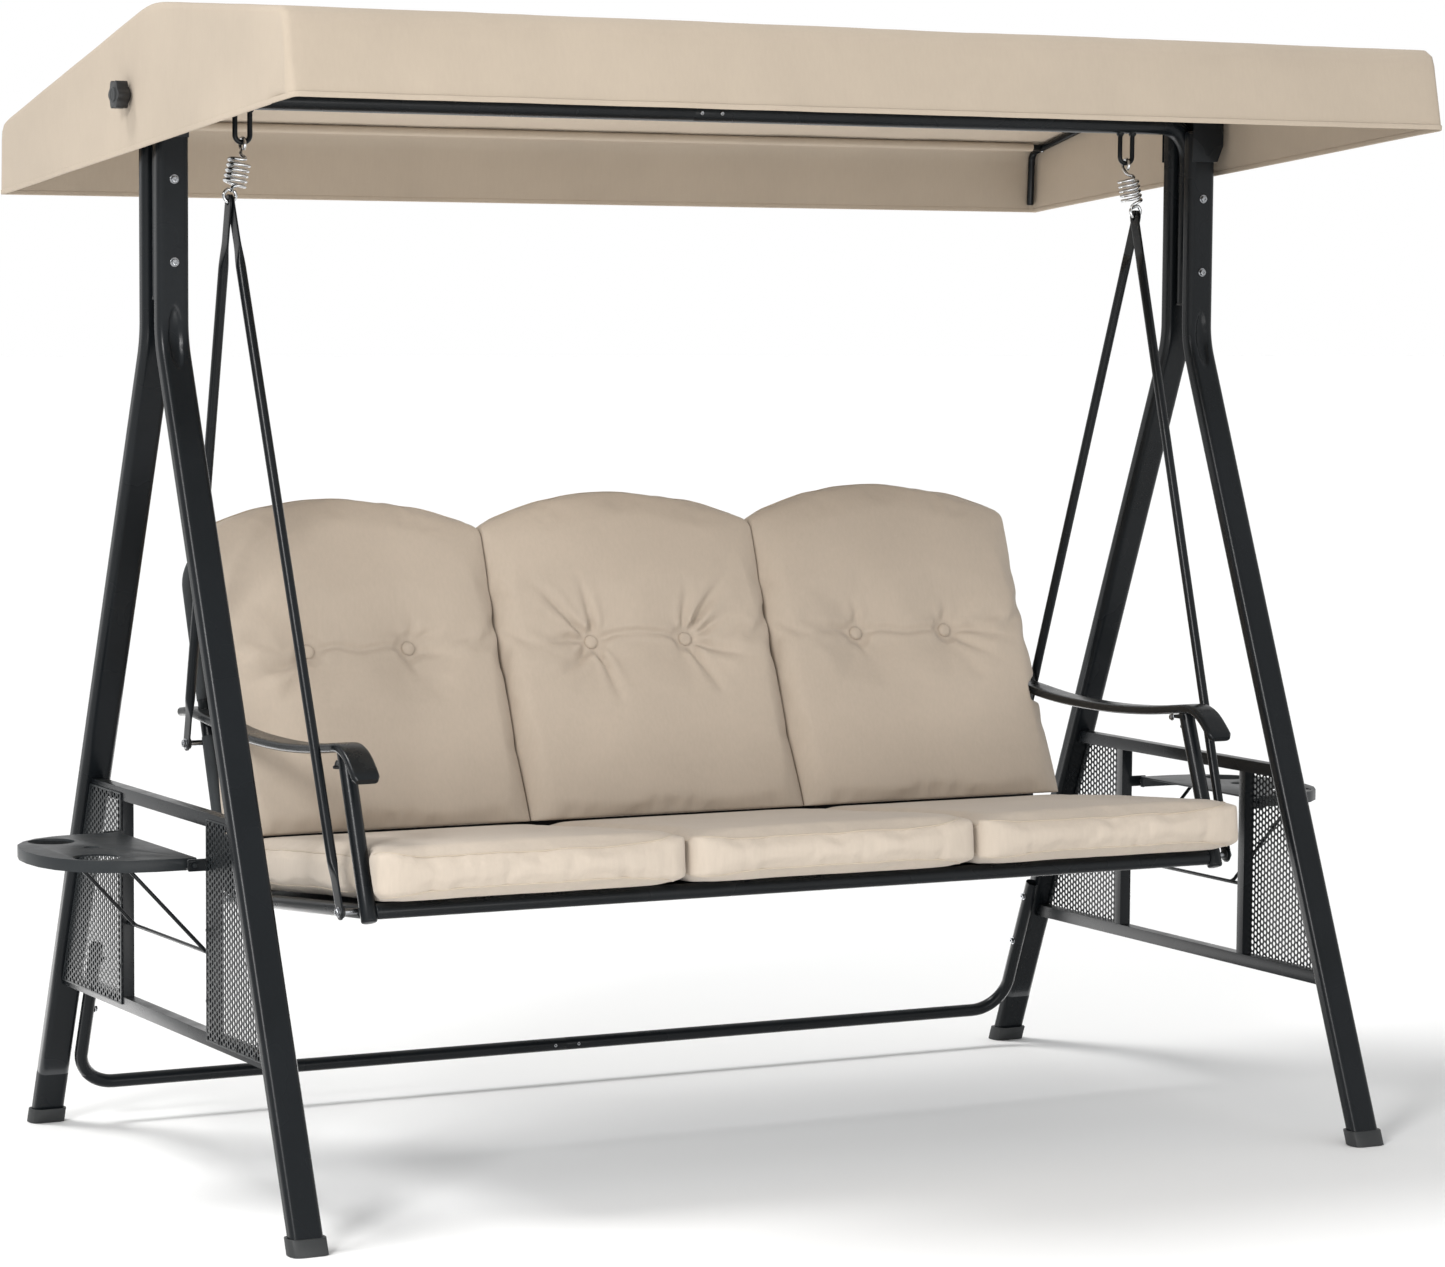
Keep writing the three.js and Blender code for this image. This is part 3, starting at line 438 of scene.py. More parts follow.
def hexbolt(name, at, axis, mat=None, r=7.5, h=5.0, washer=True, socket=True):
    """A hex or flanged head that faces along axis, with a washer under it and a small recess in the middle."""
    mat = mat or ZINC
    ax = np.array(axis, float)
    ax /= np.linalg.norm(ax)
    u = np.cross(ax, [0.0, 0, 1]) if abs(ax[2]) < 0.9 else np.cross(ax, [1.0, 0, 0])
    u /= np.linalg.norm(u)
    w = np.cross(ax, u)
    c = np.array(at, float)
    bm = bmesh.new()

    def ring(rad, height, n, phase=0.0):
        return [bm.verts.new(G(c + ax * height + (u * math.cos(phase + 2 * math.pi * k / n) + w * math.sin(phase + 2 * math.pi * k / n)) * rad)) for k in range(n)]

    def bridge(a, b):
        for k in range(len(a)):
            bm.faces.new((a[k], a[(k + 1) % len(a)], b[(k + 1) % len(a)], b[k]))

    if washer:
        rs = [ring(r * 1.28, 0, 24), ring(r * 1.28, 0.9, 24), ring(r * 1.2, 1.3, 24), ring(r * 0.7, 1.3, 24)]
        for a, b in zip(rs, rs[1:]):
            bridge(a, b)
        bm.faces.new(rs[0][::-1])
        bm.faces.new(rs[-1])
    n = 24
    hexr = lambda k: r / math.cos(((2 * math.pi * k / n) % (math.pi / 3)) - math.pi / 6) * math.cos(math.pi / 6)

    def hring(f, height):
        return [bm.verts.new(G(c + ax * height + (u * math.cos(2 * math.pi * k / n) + w * math.sin(2 * math.pi * k / n)) * hexr(k) * f)) for k in range(n)]

    b0 = 1.2 if washer else 0.0
    rs = [hring(1, b0), hring(1, b0 + h - 0.9), hring(0.93, b0 + h - 0.3), ring(r * 0.72, b0 + h, n), ring(r * 0.4, b0 + h - 0.1, n)]
    if socket:
        rs += [ring(r * 0.36, b0 + h - 1.6, n), ring(r * 0.05, b0 + h - 1.7, n)]
    for a, b in zip(rs, rs[1:]):
        bridge(a, b)
    bm.faces.new(rs[0][::-1])
    bm.faces.new(rs[-1])
    me = bpy.data.meshes.new(name)
    bmesh.ops.recalc_face_normals(bm, faces=bm.faces)
    bm.to_mesh(me)
    bm.free()
    ob = bpy.data.objects.new(name, me)
    scene.collection.objects.link(ob)
    me.materials.append(mat)
    return shade(ob, 30)


def detail(node, mat, bevel=0.7, seg=2, limit=38.0, body=None, slot=None, name=None, smooth=40.0):
    """A finished copy of a CAD node: same faces, with softened edges and smooth shading on its round parts."""
    src = NODES[node]
    bm = bmesh.new()
    bm.from_mesh(src.data)
    bmesh.ops.remove_doubles(bm, verts=bm.verts, dist=2e-5)
    bmesh.ops.dissolve_limit(bm, angle_limit=math.radians(0.8), verts=bm.verts, edges=bm.edges)
    if bevel:
        edges = [e for e in bm.edges if len(e.link_faces) == 2 and e.calc_face_angle(0.0) > math.radians(limit)]
        bmesh.ops.bevel(bm, geom=edges, offset=bevel * MM, offset_type="OFFSET", segments=seg, profile=0.5, affect="EDGES", clamp_overlap=True)
    me = bpy.data.meshes.new(name or node + "_fine")
    bm.to_mesh(me)
    bm.free()
    me.materials.clear()
    me.materials.append(mat)
    for p in me.polygons:
        p.material_index = 0
    ob = bpy.data.objects.new(name or node + "_fine", me)
    scene.collection.objects.link(ob)
    shade(ob, smooth)
    stand(ob, body_of[node], node, slot=slot)
    return ob


body_of = {}
for b, members in frame["record"]["behaviour"]["bodies"].items():
    for nd in members:
        body_of[nd] = b


def stand(ob, body, *nodes, slot=None):
    """ob rides on body and takes the place of the CAD nodes given."""
    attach(ob, body)
    if nodes:
        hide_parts(*nodes)
    return ob


SIDES = (("left", -1), ("right", 1))
rad = math.radians

# ------------------------------------------------------------------ driving dimensions, as in the part
POST_X, LEG_W, LEG_D, LEG_Y, LEG_TOP, BEND_Z, FOOT_Y = 915, 50, 28, 31.5, 1622, 1277, 562
SLOPE = (FOOT_Y - LEG_Y) / (BEND_Z + LIFT)
legY = lambda z: LEG_Y + (BEND_Z - z) * SLOPE
BAR_R, BAR_Z, BAR_END_Z, SEAM_X = 17, 1640, 1341, -30
GROUND_R, GROUND_Y, GROUND_Z, GROUND_X, GROUND_TOP = 11, 515, 60, 878, 302
RAIL_UP_Z, RAIL_LOW_Z, RAIL_S, UPRIGHT_Y, UPRIGHT_C, UPRIGHT_S = 574, 247, 20, 190, -16, 18
LOOP_X, LOOP_HALF, LOOP_R, LOOP_Z, HOOK_X, HOOK_Z = 789, 12, 4, 1574, 809.5, 1484
ROD_R, PLATE_T, PLATE_W, ROD_FOOT_X, ROD_FRONT, ROD_REAR = 7.8, 3, 25, 778, (-352, 448), (273, 636)
SEAT_X, SEAT_R, SEAT_FRONT_Y, SEAT_FRONT_Z, SEAT_TILT, SEAT_LEN = 741, 11, -368, 448, 5, 560
BACK_TILT, BACK_LEN, PITCH, SEAT_T, BACK_T = 20, 575, 500, 82, 96
CANOPY_X = 970
TRAY_AXIS_X, TRAY_AXIS_Z, TRAY_TOP_Z = 946, 508, 517
WIRE_Z, WIRE_R, WIRE_HALF, WIRE_TOP_X, WIRE_TOP_Z = 373, 3, 152, 1036, 503

cs, sn = math.cos(rad(SEAT_TILT)), math.sin(rad(SEAT_TILT))
cb, sb = math.cos(rad(BACK_TILT)), math.sin(rad(BACK_TILT))
SEAT_REAR = (SEAT_FRONT_Y + SEAT_LEN * cs, SEAT_FRONT_Z - SEAT_LEN * sn)


def in_seat(p):
    p = np.asarray(p, float)
    return np.stack([p[..., 0], SEAT_FRONT_Y + p[..., 1] * cs + p[..., 2] * sn, SEAT_FRONT_Z - p[..., 1] * sn + p[..., 2] * cs], -1)


def in_back(p):
    p = np.asarray(p, float)
    return np.stack([p[..., 0], SEAT_REAR[0] - 8 + p[..., 1] * cb + p[..., 2] * sb, SEAT_REAR[1] - p[..., 1] * sb + p[..., 2] * cb], -1)


# ------------------------------------------------------------------ camera
def camera():
    f, cx, cy = 4491.369, 833.471, 676.706
    y, p, r = rad(28.94), rad(5.133), rad(-0.542)
    fwd = np.array([math.sin(y) * math.cos(p), math.cos(y) * math.cos(p), -math.sin(p)])
    right = np.array([math.cos(y), -math.sin(y), 0])
    down = np.cross(fwd, right)
    r2 = math.cos(r) * right + math.sin(r) * down
    d2 = -math.sin(r) * right + math.cos(r) * down
    cam = bpy.data.cameras.new("camera")
    ob = bpy.data.objects.new("camera", cam)
    scene.collection.objects.link(ob)
    m = Matrix.Identity(4)
    for i in range(3):
        m[i][0], m[i][1], m[i][2] = r2[i], -d2[i], -fwd[i]
    m[0][3], m[1][3], m[2][3] = -3.30061, -6.37712, 1.391762
    ob.matrix_world = m
    cam.sensor_fit = "HORIZONTAL"
    cam.sensor_width = 36.0
    cam.lens = f * 36.0 / 1445
    cam.shift_x = (722.5 - cx) / 1445
    cam.shift_y = (cy - 633.5) / 1445
    cam.clip_start, cam.clip_end = 0.1, 200
    scene.camera = ob


camera()


# ------------------------------------------------------------------ more helpers
def cut(ob, *cutters):
    for c in cutters:
        m = ob.modifiers.new("cut", "BOOLEAN")
        m.operation, m.solver, m.object = "DIFFERENCE", "EXACT", c
    bpy.context.view_layer.update()
    applied(ob)
    for c in cutters:
        bpy.data.objects.remove(c, do_unlink=True)
    return ob


def plate(name, outline, x0, x1, mat, bevel=0.8, angle=40):
    """A flat plate drawn in (Y, Z) with its thickness along X."""
    bm = bmesh.new()
    a = [bm.verts.new(G((x0, y, z))) for y, z in outline]
    b = [bm.verts.new(G((x1, y, z))) for y, z in outline]
    bm.faces.new(a)
    bm.faces.new(b[::-1])
    for k in range(len(a)):
        q = (k + 1) % len(a)
        bm.faces.new((a[q], a[k], b[k], b[q]))
    bmesh.ops.recalc_face_normals(bm, faces=bm.faces)
    if bevel:
        edges = [e for e in bm.edges if e.calc_face_angle(0.0) > rad(38)]
        bmesh.ops.bevel(bm, geom=edges, offset=bevel * MM, offset_type="OFFSET", segments=2, profile=0.5, affect="EDGES", clamp_overlap=True)
    me = bpy.data.meshes.new(name)
    bm.to_mesh(me)
    bm.free()
    ob = bpy.data.objects.new(name, me)
    scene.collection.objects.link(ob)
    me.materials.append(mat)
    return shade(ob, angle)


def blunt(a, b, m, n=28):
    """Outline between a rounded bar and an ellipse: half sizes a and b, exponent m."""
    t = np.arange(n) * 2 * math.pi / n
    c, s = np.cos(t), np.sin(t)
    return np.stack([a * np.sign(c) * np.abs(c) ** (2 / m), b * np.sign(s) * np.abs(s) ** (2 / m)], 1)


def smoothstep(t):
    t = np.clip(t, 0, 1)
    return t * t * (3 - 2 * t)


# ------------------------------------------------------------------ stand
LEG_SECTION = round_rect(LEG_W, LEG_D, 10, 6, 12)
for side, s in SIDES:
    for pos, f in (("front", -1), ("back", 1)):
        name = f"leg_{pos}_{side}"
        path = fillet([(s * POST_X, f * LEG_Y, LEG_TOP), (s * POST_X, f * LEG_Y, BEND_Z), (s * POST_X, f * legY(1), 1)], [150], 16)
        fine = resample(path, 4)
        kept = [p for i, p in enumerate(fine) if i % 10 == 0 or i == len(fine) - 1 or 1225 < p[2] < 1335]
        leg = sweep("post_" + pos + "_" + side, kept, LEG_SECTION, PAINT, cap="round")
        # pressed oblong dent on the outer face, where the tube bends
        co = coords(leg.data) / MM
        x, y, z = co[:, 0] - s * POST_X, (co[:, 1] - Y_AXIS) * f, co[:, 2] - LIFT
        e = (x / 10.5) ** 2 + ((z - 1281) / 46) ** 2
        outer = y > LEG_Y + np.maximum(0, (BEND_Z - z)) * SLOPE + 6
        d = np.where(outer & (e < 1), 5.2 * np.sqrt(np.clip(1 - e, 0, 1)) ** 0.8, 0)
        co[:, 1] -= f * d
        put_coords(leg.data, co * MM)
        stand(leg, "stand", name)
        detail(f"foot_{pos}_{side}", CAP, bevel=1.3)

for side, s in SIDES:
    start = SEAM_X - 0.35 if s < 0 else SEAM_X + 0.25
    path = fillet([(start, 0, BAR_Z), (s * POST_X, 0, BAR_Z), (s * POST_X, 0, BAR_END_Z)], [55], 14)
    P = [path[0] + (path[1] - path[0]) * t for t in np.linspace(0, 1, 12)][:-1] + path[1:-1] + [path[-2] + (path[-1] - path[-2]) * t for t in np.linspace(0, 1, 6)][1:]
    stand(tube(f"top_bar_{side}", P, BAR_R, PAINT, n=30), "stand", f"crossbar_{side}")
    # rolled lip at the open lower end
    lip = lathe(f"top_bar_lip_{side}", [(13.5, 0), (17.1, 0), (17.5, 0.8), (17.4, 3.2), (16.9, 3.8), (13, 3.8)], (s * POST_X, 0, BAR_END_Z - 3.9), (0, 0, 1), CAP)
    stand(lip, "stand", slot="frame_paint")
    for i, z in enumerate((1516, 1393)):
        level = "upper" if i == 0 else "lower"
        face = LEG_Y + LEG_D / 2
        stand(hexbolt(f"bolt_head_{level}_{side}", (s * POST_X, -face - 0.2, z), (0, -1, 0), r=5.6, h=3.8), "stand", f"post_bolt_{level}_{side}")
        stand(hexbolt(f"bolt_nut_{level}_{side}", (s * POST_X, face + 0.2, z), (0, 1, 0), r=5.6, h=4.6), "stand", slot="zinc")
    detail(f"canopy_bracket_{side}", PAINT, bevel=0.5, seg=2, limit=30)
    stand(hexbolt(f"bracket_screw_{side}", (s * 922, -LEG_Y - LEG_D / 2 - 2.5, 1648), (0, -1, 0), r=4.2, h=2.4, washer=False), "stand", slot="zinc")
    x = s * LOOP_X
    P = fillet([(x - LOOP_HALF, 0, BAR_Z - BAR_R + 1), (x - LOOP_HALF, 0, LOOP_Z), (x + LOOP_HALF, 0, LOOP_Z), (x + LOOP_HALF, 0, BAR_Z - BAR_R + 1)], [11, 11], 10)
    stand(tube(f"loop_{side}", P, LOOP_R, PAINT, n=18), "stand", f"hanger_loop_{side}")
    # weld beads where the loop meets the bar
    for k, e in enumerate((-1, 1)):
        bead = lathe(f"loop_weld_{side}_{k}", [(4.2, -3.2), (5.6, -1.4), (6.6, 0.8), (6.9, 2.6)], (x + e * LOOP_HALF, 0, BAR_Z - BAR_R - 1.2), (0, 0, 1), PAINT, n=18)
        stand(bead, "stand", slot="frame_paint")
    detail(f"side_frame_{side}", PAINT, bevel=1.6, seg=3, limit=40)

for k, (x, r) in enumerate(((-19, 3.6), (17, 3.6))):
    stand(hexbolt(f"bar_screw_{k}", (x, -BAR_R + 0.6, BAR_Z - 3), (0, -1, -0.12), r=r, h=2.2, washer=False), "stand", slot="zinc")


def perforated(name, node, side, s, e):
    """Thin sheet with staggered rows of round holes, from the upright to the slanting leg."""
    x0, x1 = s * (POST_X + 10.35), s * (POST_X + 11.85)
    inner = UPRIGHT_C + e * UPRIGHT_Y - e * 8
    z0, z1 = RAIL_LOW_Z - 2, RAIL_UP_Z + 2
    lean = LEG_D / 2 * math.sqrt(1 + SLOPE ** 2) + 0.4
    edge = lambda z: e * (legY(z) - lean)
    dy, dz, R, r = 9.1, 10.5, 10.5 / math.sqrt(3), 4.0
    bm = bmesh.new()
    lo, hi = sorted((inner, edge(z0)))
    verts = {}

    def v(x, y, z):
        key = (round(x, 2), round(y, 2), round(z, 2))
        if key not in verts:
            verts[key] = bm.verts.new((x, y, z))
        return verts[key]

    n = 12
    for i in range(int((hi - lo) / dy) + 3):
        for j in range(int((z1 - z0) / dz) + 3):
            cy, cz = lo - dy + i * dy, z0 - dz + j * dz + (i % 2) * dz / 2
            out = [(cy + (R if k % 2 == 0 else 5.25) * math.cos(math.pi * k / 6), cz + (R if k % 2 == 0 else 5.25) * math.sin(math.pi * k / 6)) for k in range(n)]
            hole = [(cy + r * math.cos(math.pi * k / 6), cz + r * math.sin(math.pi * k / 6)) for k in range(n)]
            if min(e * p[0] for p in out) > e * edge(cz) + 8 or max(e * p[0] for p in out) < e * inner - 2:
                continue
            for k in range(n):
                q = (k + 1) % n
                for x in (x0, x1):
                    bm.faces.new((v(x, *out[k]), v(x, *out[q]), v(x, *hole[q]), v(x, *hole[k])))
                bm.faces.new((v(x0, *hole[k]), v(x0, *hole[q]), v(x1, *hole[q]), v(x1, *hole[k])))
    leg_n = Vector((0, e, SLOPE)).normalized()
    for co, no in (((0, 0, z0), (0, 0, -1)), ((0, 0, z1), (0, 0, 1)), ((0, inner, 0), (0, -e, 0)), ((0, edge(z0), z0), leg_n)):
        bmesh.ops.bisect_plane(bm, geom=bm.verts[:] + bm.edges[:] + bm.faces[:], plane_co=co, plane_no=no, clear_outer=True, dist=1e-4)
    bmesh.ops.recalc_face_normals(bm, faces=bm.faces)
    for vert in bm.verts:
        vert.co = Vector(G(vert.co))
    me = bpy.data.meshes.new(name)
    bm.to_mesh(me)
    bm.free()
    ob = bpy.data.objects.new(name, me)
    scene.collection.objects.link(ob)
    me.materials.append(PANEL)
    shade(ob, 35)
    stand(ob, "stand", node)
    rim = [(inner + e * 1.4, z0 + 1.4), (edge(z0) - e * 2.2, z0 + 1.4), (edge(z1) - e * 1.6, z1 - 1.4), (inner + e * 1.4, z1 - 1.4)]
    xm = (x0 + x1) / 2
    P = []
    for a, b in zip(rim, rim[1:] + rim[:1]):
        P += [np.array([xm, a[0] + (b[0] - a[0]) * t, a[1] + (b[1] - a[1]) * t]) for t in (0.0, 0.04, 0.5, 0.96)]
    edge_strip = sweep(name + "_edge", P, round_rect(2.3, 3.2, 0.7, 2), PANEL, across=(1, 0, 0), closed=True)
    stand(edge_strip, "stand", slot="panel")
    # small rivets into the rails and the upright
    k = 0
    spots = [(inner + e * 4, z) for z in (z0 + 60, (z0 + z1) / 2, z1 - 60)]
    spots += [(inner + (edge(z0) - inner) * t, z0 + 5) for t in (0.2, 0.5, 0.8)] + [(inner + (edge(z1) - inner) * t, z1 - 5) for t in (0.3, 0.75)]
    for y, z in spots:
        rivet = lathe(f"{name}_rivet_{k}", [(3.6, 0), (3.4, 0.9), (2.4, 1.7), (0.9, 2.1)], (x1 - s * 0.1, y, z), (s, 0, 0), BLACK, n=14)
        stand(rivet, "stand", slot="panel")
        k += 1


for side, s in SIDES:
    perforated(f"mesh_panel_front_{side}", f"panel_front_{side}", side, s, -1)
    perforated(f"mesh_panel_back_{side}", f"panel_back_{side}", side, s, 1)
    up = np.array([s * GROUND_X, GROUND_Y - (GROUND_TOP - GROUND_Z) * SLOPE, GROUND_TOP])
    start = -0.4 if s < 0 else 0.3
    path = fillet([(start, GROUND_Y, GROUND_Z), (s * GROUND_X, GROUND_Y, GROUND_Z), up], [62], 14)
    P = [path[0] + (path[1] - path[0]) * t for t in np.linspace(0, 1, 12)][:-1] + path[1:]
    stand(tube(f"floor_bar_{side}", P, GROUND_R, PAINT, n=24), "stand", f"ground_bar_{side}")
    run = up - np.array([s * GROUND_X, GROUND_Y, GROUND_Z])
    run /= np.linalg.norm(run)
    for k, back in enumerate((28, 120)):
        at = up - run * back + np.array([-s * (GROUND_R - 0.5), 0, 0])
        stand(hexbolt(f"floor_bar_bolt_{side}_{k}", at, (-s, 0, 0), r=5.2, h=4.0), "stand", slot="zinc")
for k, x in enumerate((-22, 22)):
    stand(hexbolt(f"floor_bar_screw_{k}", (x, GROUND_Y - GROUND_R + 0.5, GROUND_Z), (0, -1, 0), r=3.4, h=2.0, washer=False), "stand", slot="zinc")

# ------------------------------------------------------------------ springs
def catmull(P, per=6):
    P = [np.asarray(p, float) for p in P]
    P = [2 * P[0] - P[1]] + P + [2 * P[-1] - P[-2]]
    out = []
    for i in range(1, len(P) - 2):
        p0, p1, p2, p3 = P[i - 1:i + 3]
        for k in range(per):
            t = k / per
            out.append(0.5 * (2 * p1 + (p2 - p0) * t + (2 * p0 - 5 * p1 + 4 * p2 - p3) * t * t + (3 * p1 - p0 - 3 * p2 + p3) * t ** 3))
    out.append(P[-2])
    return out


for side, s in SIDES:
    top, low = np.array([s * LOOP_X, 0, 1571.5]), np.array([s * HOOK_X, 0, HOOK_Z + 10])
    a, b = np.array([s * 793.5, 0, 1548.0]), np.array([s * 802.5, 0, 1509.0])
    ax = (b - a) / np.linalg.norm(b - a)
    u = np.array([0, -1.0, 0])
    w = np.cross(ax, u)
    P = [top + 9.6 * np.array([0, math.cos(rad(t)), math.sin(rad(t))]) for t in (232, 205, 180, 150, 120, 90, 60, 30, 0, -30, -60)]
    P.append(a - ax * 8 + u * 3 + w * 1)
    turns, R = 5.0, 15.9
    steps = int(turns * 12)
    P += [a + u * 10 + w * -5 - ax * 3.4]
    for k in range(steps + 1):
        t = k / steps
        ang = 2 * math.pi * turns * t
        P.append(a + (b - a) * t + R * (u * math.cos(ang) + w * math.sin(ang)))
    q = np.array([s * 1.0, 0, 0])
    P += [b + u * 9 + w * 6 + ax * 4.5, b + u * 2 + w * 3 + ax * 8.5]
    P += [low + 9.6 * (q * math.cos(rad(t)) + np.array([0, 0, 1.0]) * math.sin(rad(t))) for t in (75, 45, 15, -15, -45, -75, -105, -135, -165, -195, -225)]
    wire = tube(f"coil_{side}", catmull(P, 3), 2.7, CHROME, n=10)
    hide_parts(f"spring_{side}")
    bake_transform(wire)

# ------------------------------------------------------------------ hanger rods: round tube, pressed flat and drilled at its ends
for side, s in SIDES:
    for pos, off, foot in (("front", -1, ROD_FRONT), ("rear", 1, ROD_REAR)):
        T, B = np.array([s * (HOOK_X + off * 2.0), 0, HOOK_Z]), np.array([s * ROD_FOOT_X, foot[0], foot[1]])
        d = T - B
        L = np.linalg.norm(d)
        d /= L
        stops = np.r_[np.linspace(-12, -4, 7), 2, 12, 30, 44, np.linspace(50, 78, 6), np.linspace(100, L - 130, 8), np.linspace(L - 104, L - 64, 8), L - 40, L - 12, L - 2, np.linspace(L + 4, L + 12, 7)]

        def section(i, n, L=L, stops=stops):
            z = stops[min(max(i, 0), len(stops) - 1)]
            lowf, topf = smoothstep((z - 44) / 36), smoothstep((L - 62 - z) / 44)
            q = float(min(lowf, topf))
            tip = min(z + 12, L + 12 - z)
            half = math.sqrt(max(12.5 ** 2 - max(12.5 - tip, 0) ** 2, 0.6)) if tip < 12.5 else 12.5
            return blunt(1.6 + (ROD_R - 1.6) * q, half + (ROD_R - half) * q, 5.0 - 3.0 * q)

        rod = sweep(f"rod_{pos}_{side}", [B + d * z for z in stops], section, PAINT, across=(1, 0, 0), cap="flat")
        hx = np.array([1.0, 0, 0])
        holes = []
        for at in (B, T):
            c = lathe("hole", [(5.2, -8), (5.2, 8)], at, hx, PAINT, n=20)
            holes.append(c)
        cut(rod, *holes)
        shade(rod, 40)
        stand(rod, "seat", f"hanger_rod_{pos}_{side}")
        # foot bolt with bush
        bush = lathe(f"rod_bush_{pos}_{side}", [(8.5, 0), (9.2, 0.6), (9.2, 3.2), (8.4, 3.8), (4, 3.8)], B + hx * -s * 1.7, (-s, 0, 0), BLACK, n=20)
        stand(bush, "seat", slot="knob")
        stand(hexbolt(f"rod_bolt_{pos}_{side}", B + hx * s * 1.7, (s, 0, 0), r=6.4, h=4.2), "seat", slot="zinc")
        stand(lathe(f"rod_pin_{pos}_{side}", [(4.4, 0), (4.6, 2), (4.6, 30), (4.2, 32)], B + hx * s * 1.5, (-s, 0, 0), ZINC, n=16), "seat", slot="zinc")

# ------------------------------------------------------------------ seat frame
FOOT, HEAD = np.array([0, SEAT_FRONT_Y - 6.0, SEAT_FRONT_Z - 12.0]), np.array([0, -283.0, 676.0])


def straight(a, b, n=8):
    return [np.asarray(a, float) + (np.asarray(b, float) - a) * t for t in np.linspace(0, 1, n)]


def arm_path():
    pts = [(340, 680), (300, 683), (210, 676), (110, 667), (20, 664), (-80, 665), (-180, 671), (-262, 680), (-300, 684), (-322, 681), (-342, 672), (-362, 656), (-378, 641)]
    return resample(catmull([(0, y, z) for y, z in pts], 8), 7)


ARM = arm_path()


def arm_z(y):
    o = np.argsort(ARM[:, 1])
    return np.interp(y, ARM[o, 1], ARM[o, 2])


for side, s in SIDES:
    x = s * SEAT_X
    off = np.array([x, 0, 0])
    stand(tube(f"front_post_{side}", straight(FOOT + off, HEAD + off), 12.5, PAINT, n=28), "seat", f"seat_post_{side}")
    stand(tube(f"side_rail_{side}", straight(in_seat((x, 14, 0)), in_seat((x, SEAT_LEN, 0))), SEAT_R, PAINT, n=24), "seat", f"seat_rail_{side}")
    n = len(ARM)
    P = ARM + np.array([s * 746, 0, 0])
    run = np.r_[0, np.cumsum(np.linalg.norm(np.diff(ARM, axis=0), axis=1))]
    left = run[-1] - run

    def arm_section(i, n, left=left):
        d = left[i]
        k = 0.80 + 0.20 * math.sqrt(max(0.0, 1 - (1 - min(d / 12.0, 1)) ** 2))
        t = 0.72 + 0.28 * min(d / 8.0, 1)
        sec = round_rect(44, 13.5, 6.0, 5, 4).copy()
        sec[:, 1] += np.where(sec[:, 1] < 0, -0.9, 0.4) * (1 - (sec[:, 0] / 22.0) ** 2)
        return sec * np.array([k, t])

    arm = sweep(f"arm_{side}", P, arm_section, PAINT_ARM, cap="flat")
    c1 = lathe("c1", [(12.2, -60), (12.2, 60)], in_back((x, 0, 300)), (0, sb, cb), PAINT, n=28)
    lo, hi = sorted((x, s * (SEAT_X - 45)))
    bm = bmesh.new()
    bmesh.ops.create_cube(bm, size=1.0)
    for v in bm.verts:
        v.co = Vector(G(in_back(np.array([(lo + hi) / 2 + v.co.x * (hi - lo), v.co.y * 24.4, 300 + v.co.z * 120]))))
    bmesh.ops.recalc_face_normals(bm, faces=bm.faces)
    me = bpy.data.meshes.new("c2")
    bm.to_mesh(me)
    bm.free()
    c2 = bpy.data.objects.new("c2", me)
    scene.collection.objects.link(c2)
    cut(arm, c1, c2)
    shade(arm, 40)
    stand(arm, "seat", f"armrest_{side}")
    # bracket and fastening under the front of the armrest
    stand(plate(f"arm_bracket_{side}", [(-298, 667), (-262, 667), (-262, 671), (-298, 676)], x - s * 17, x - s * 14.4, PAINT, 0.5), "seat", slot="frame_paint")
    stand(hexbolt(f"arm_bolt_{side}", (x - s * 17.2, -268, 668), (-s, 0, 0), r=4.6, h=3.2), "seat", slot="zinc")
    stand(lathe(f"arm_nut_{side}", [(3, -9), (7.2, -8.4), (7.6, -5), (5.2, -3.4), (4.6, 0), (2.5, 4)], (x + s * 6, -270, 658), (0, 0, 1), BLACK, n=16), "seat", slot="knob")
    # bolts through the side rail's rear end and the back frame's foot
    for k, at in enumerate((in_back((x + s * 10.8, 0, 34)), in_seat((x + s * 10.8, SEAT_LEN - 34, 0)))):
        stand(hexbolt(f"joint_bolt_{side}_{k}", at, (s, 0, 0), r=5.4, h=3.6), "seat", slot="zinc")

xe = SEAT_X - 13
stand(tube("front_rail", straight(in_seat((-xe, 0, 0)), in_seat((xe, 0, 0)), 20), 12, PAINT, n=26), "seat", "seat_front_rail")
xr = SEAT_X - SEAT_R - 0.35
stand(tube("rear_rail", straight(in_seat((-xr, SEAT_LEN - 11, 0)), in_seat((xr, SEAT_LEN - 11, 0)), 20), SEAT_R, PAINT, n=24), "seat", "seat_rear_rail")
P = fillet([in_back((-SEAT_X, 0, 15)), in_back((-SEAT_X, 0, BACK_LEN)), in_back((SEAT_X, 0, BACK_LEN)), in_back((SEAT_X, 0, 15))], [70, 70], 14)
stand(tube("back_tube", P, SEAT_R, PAINT, n=24), "seat", "back_frame")


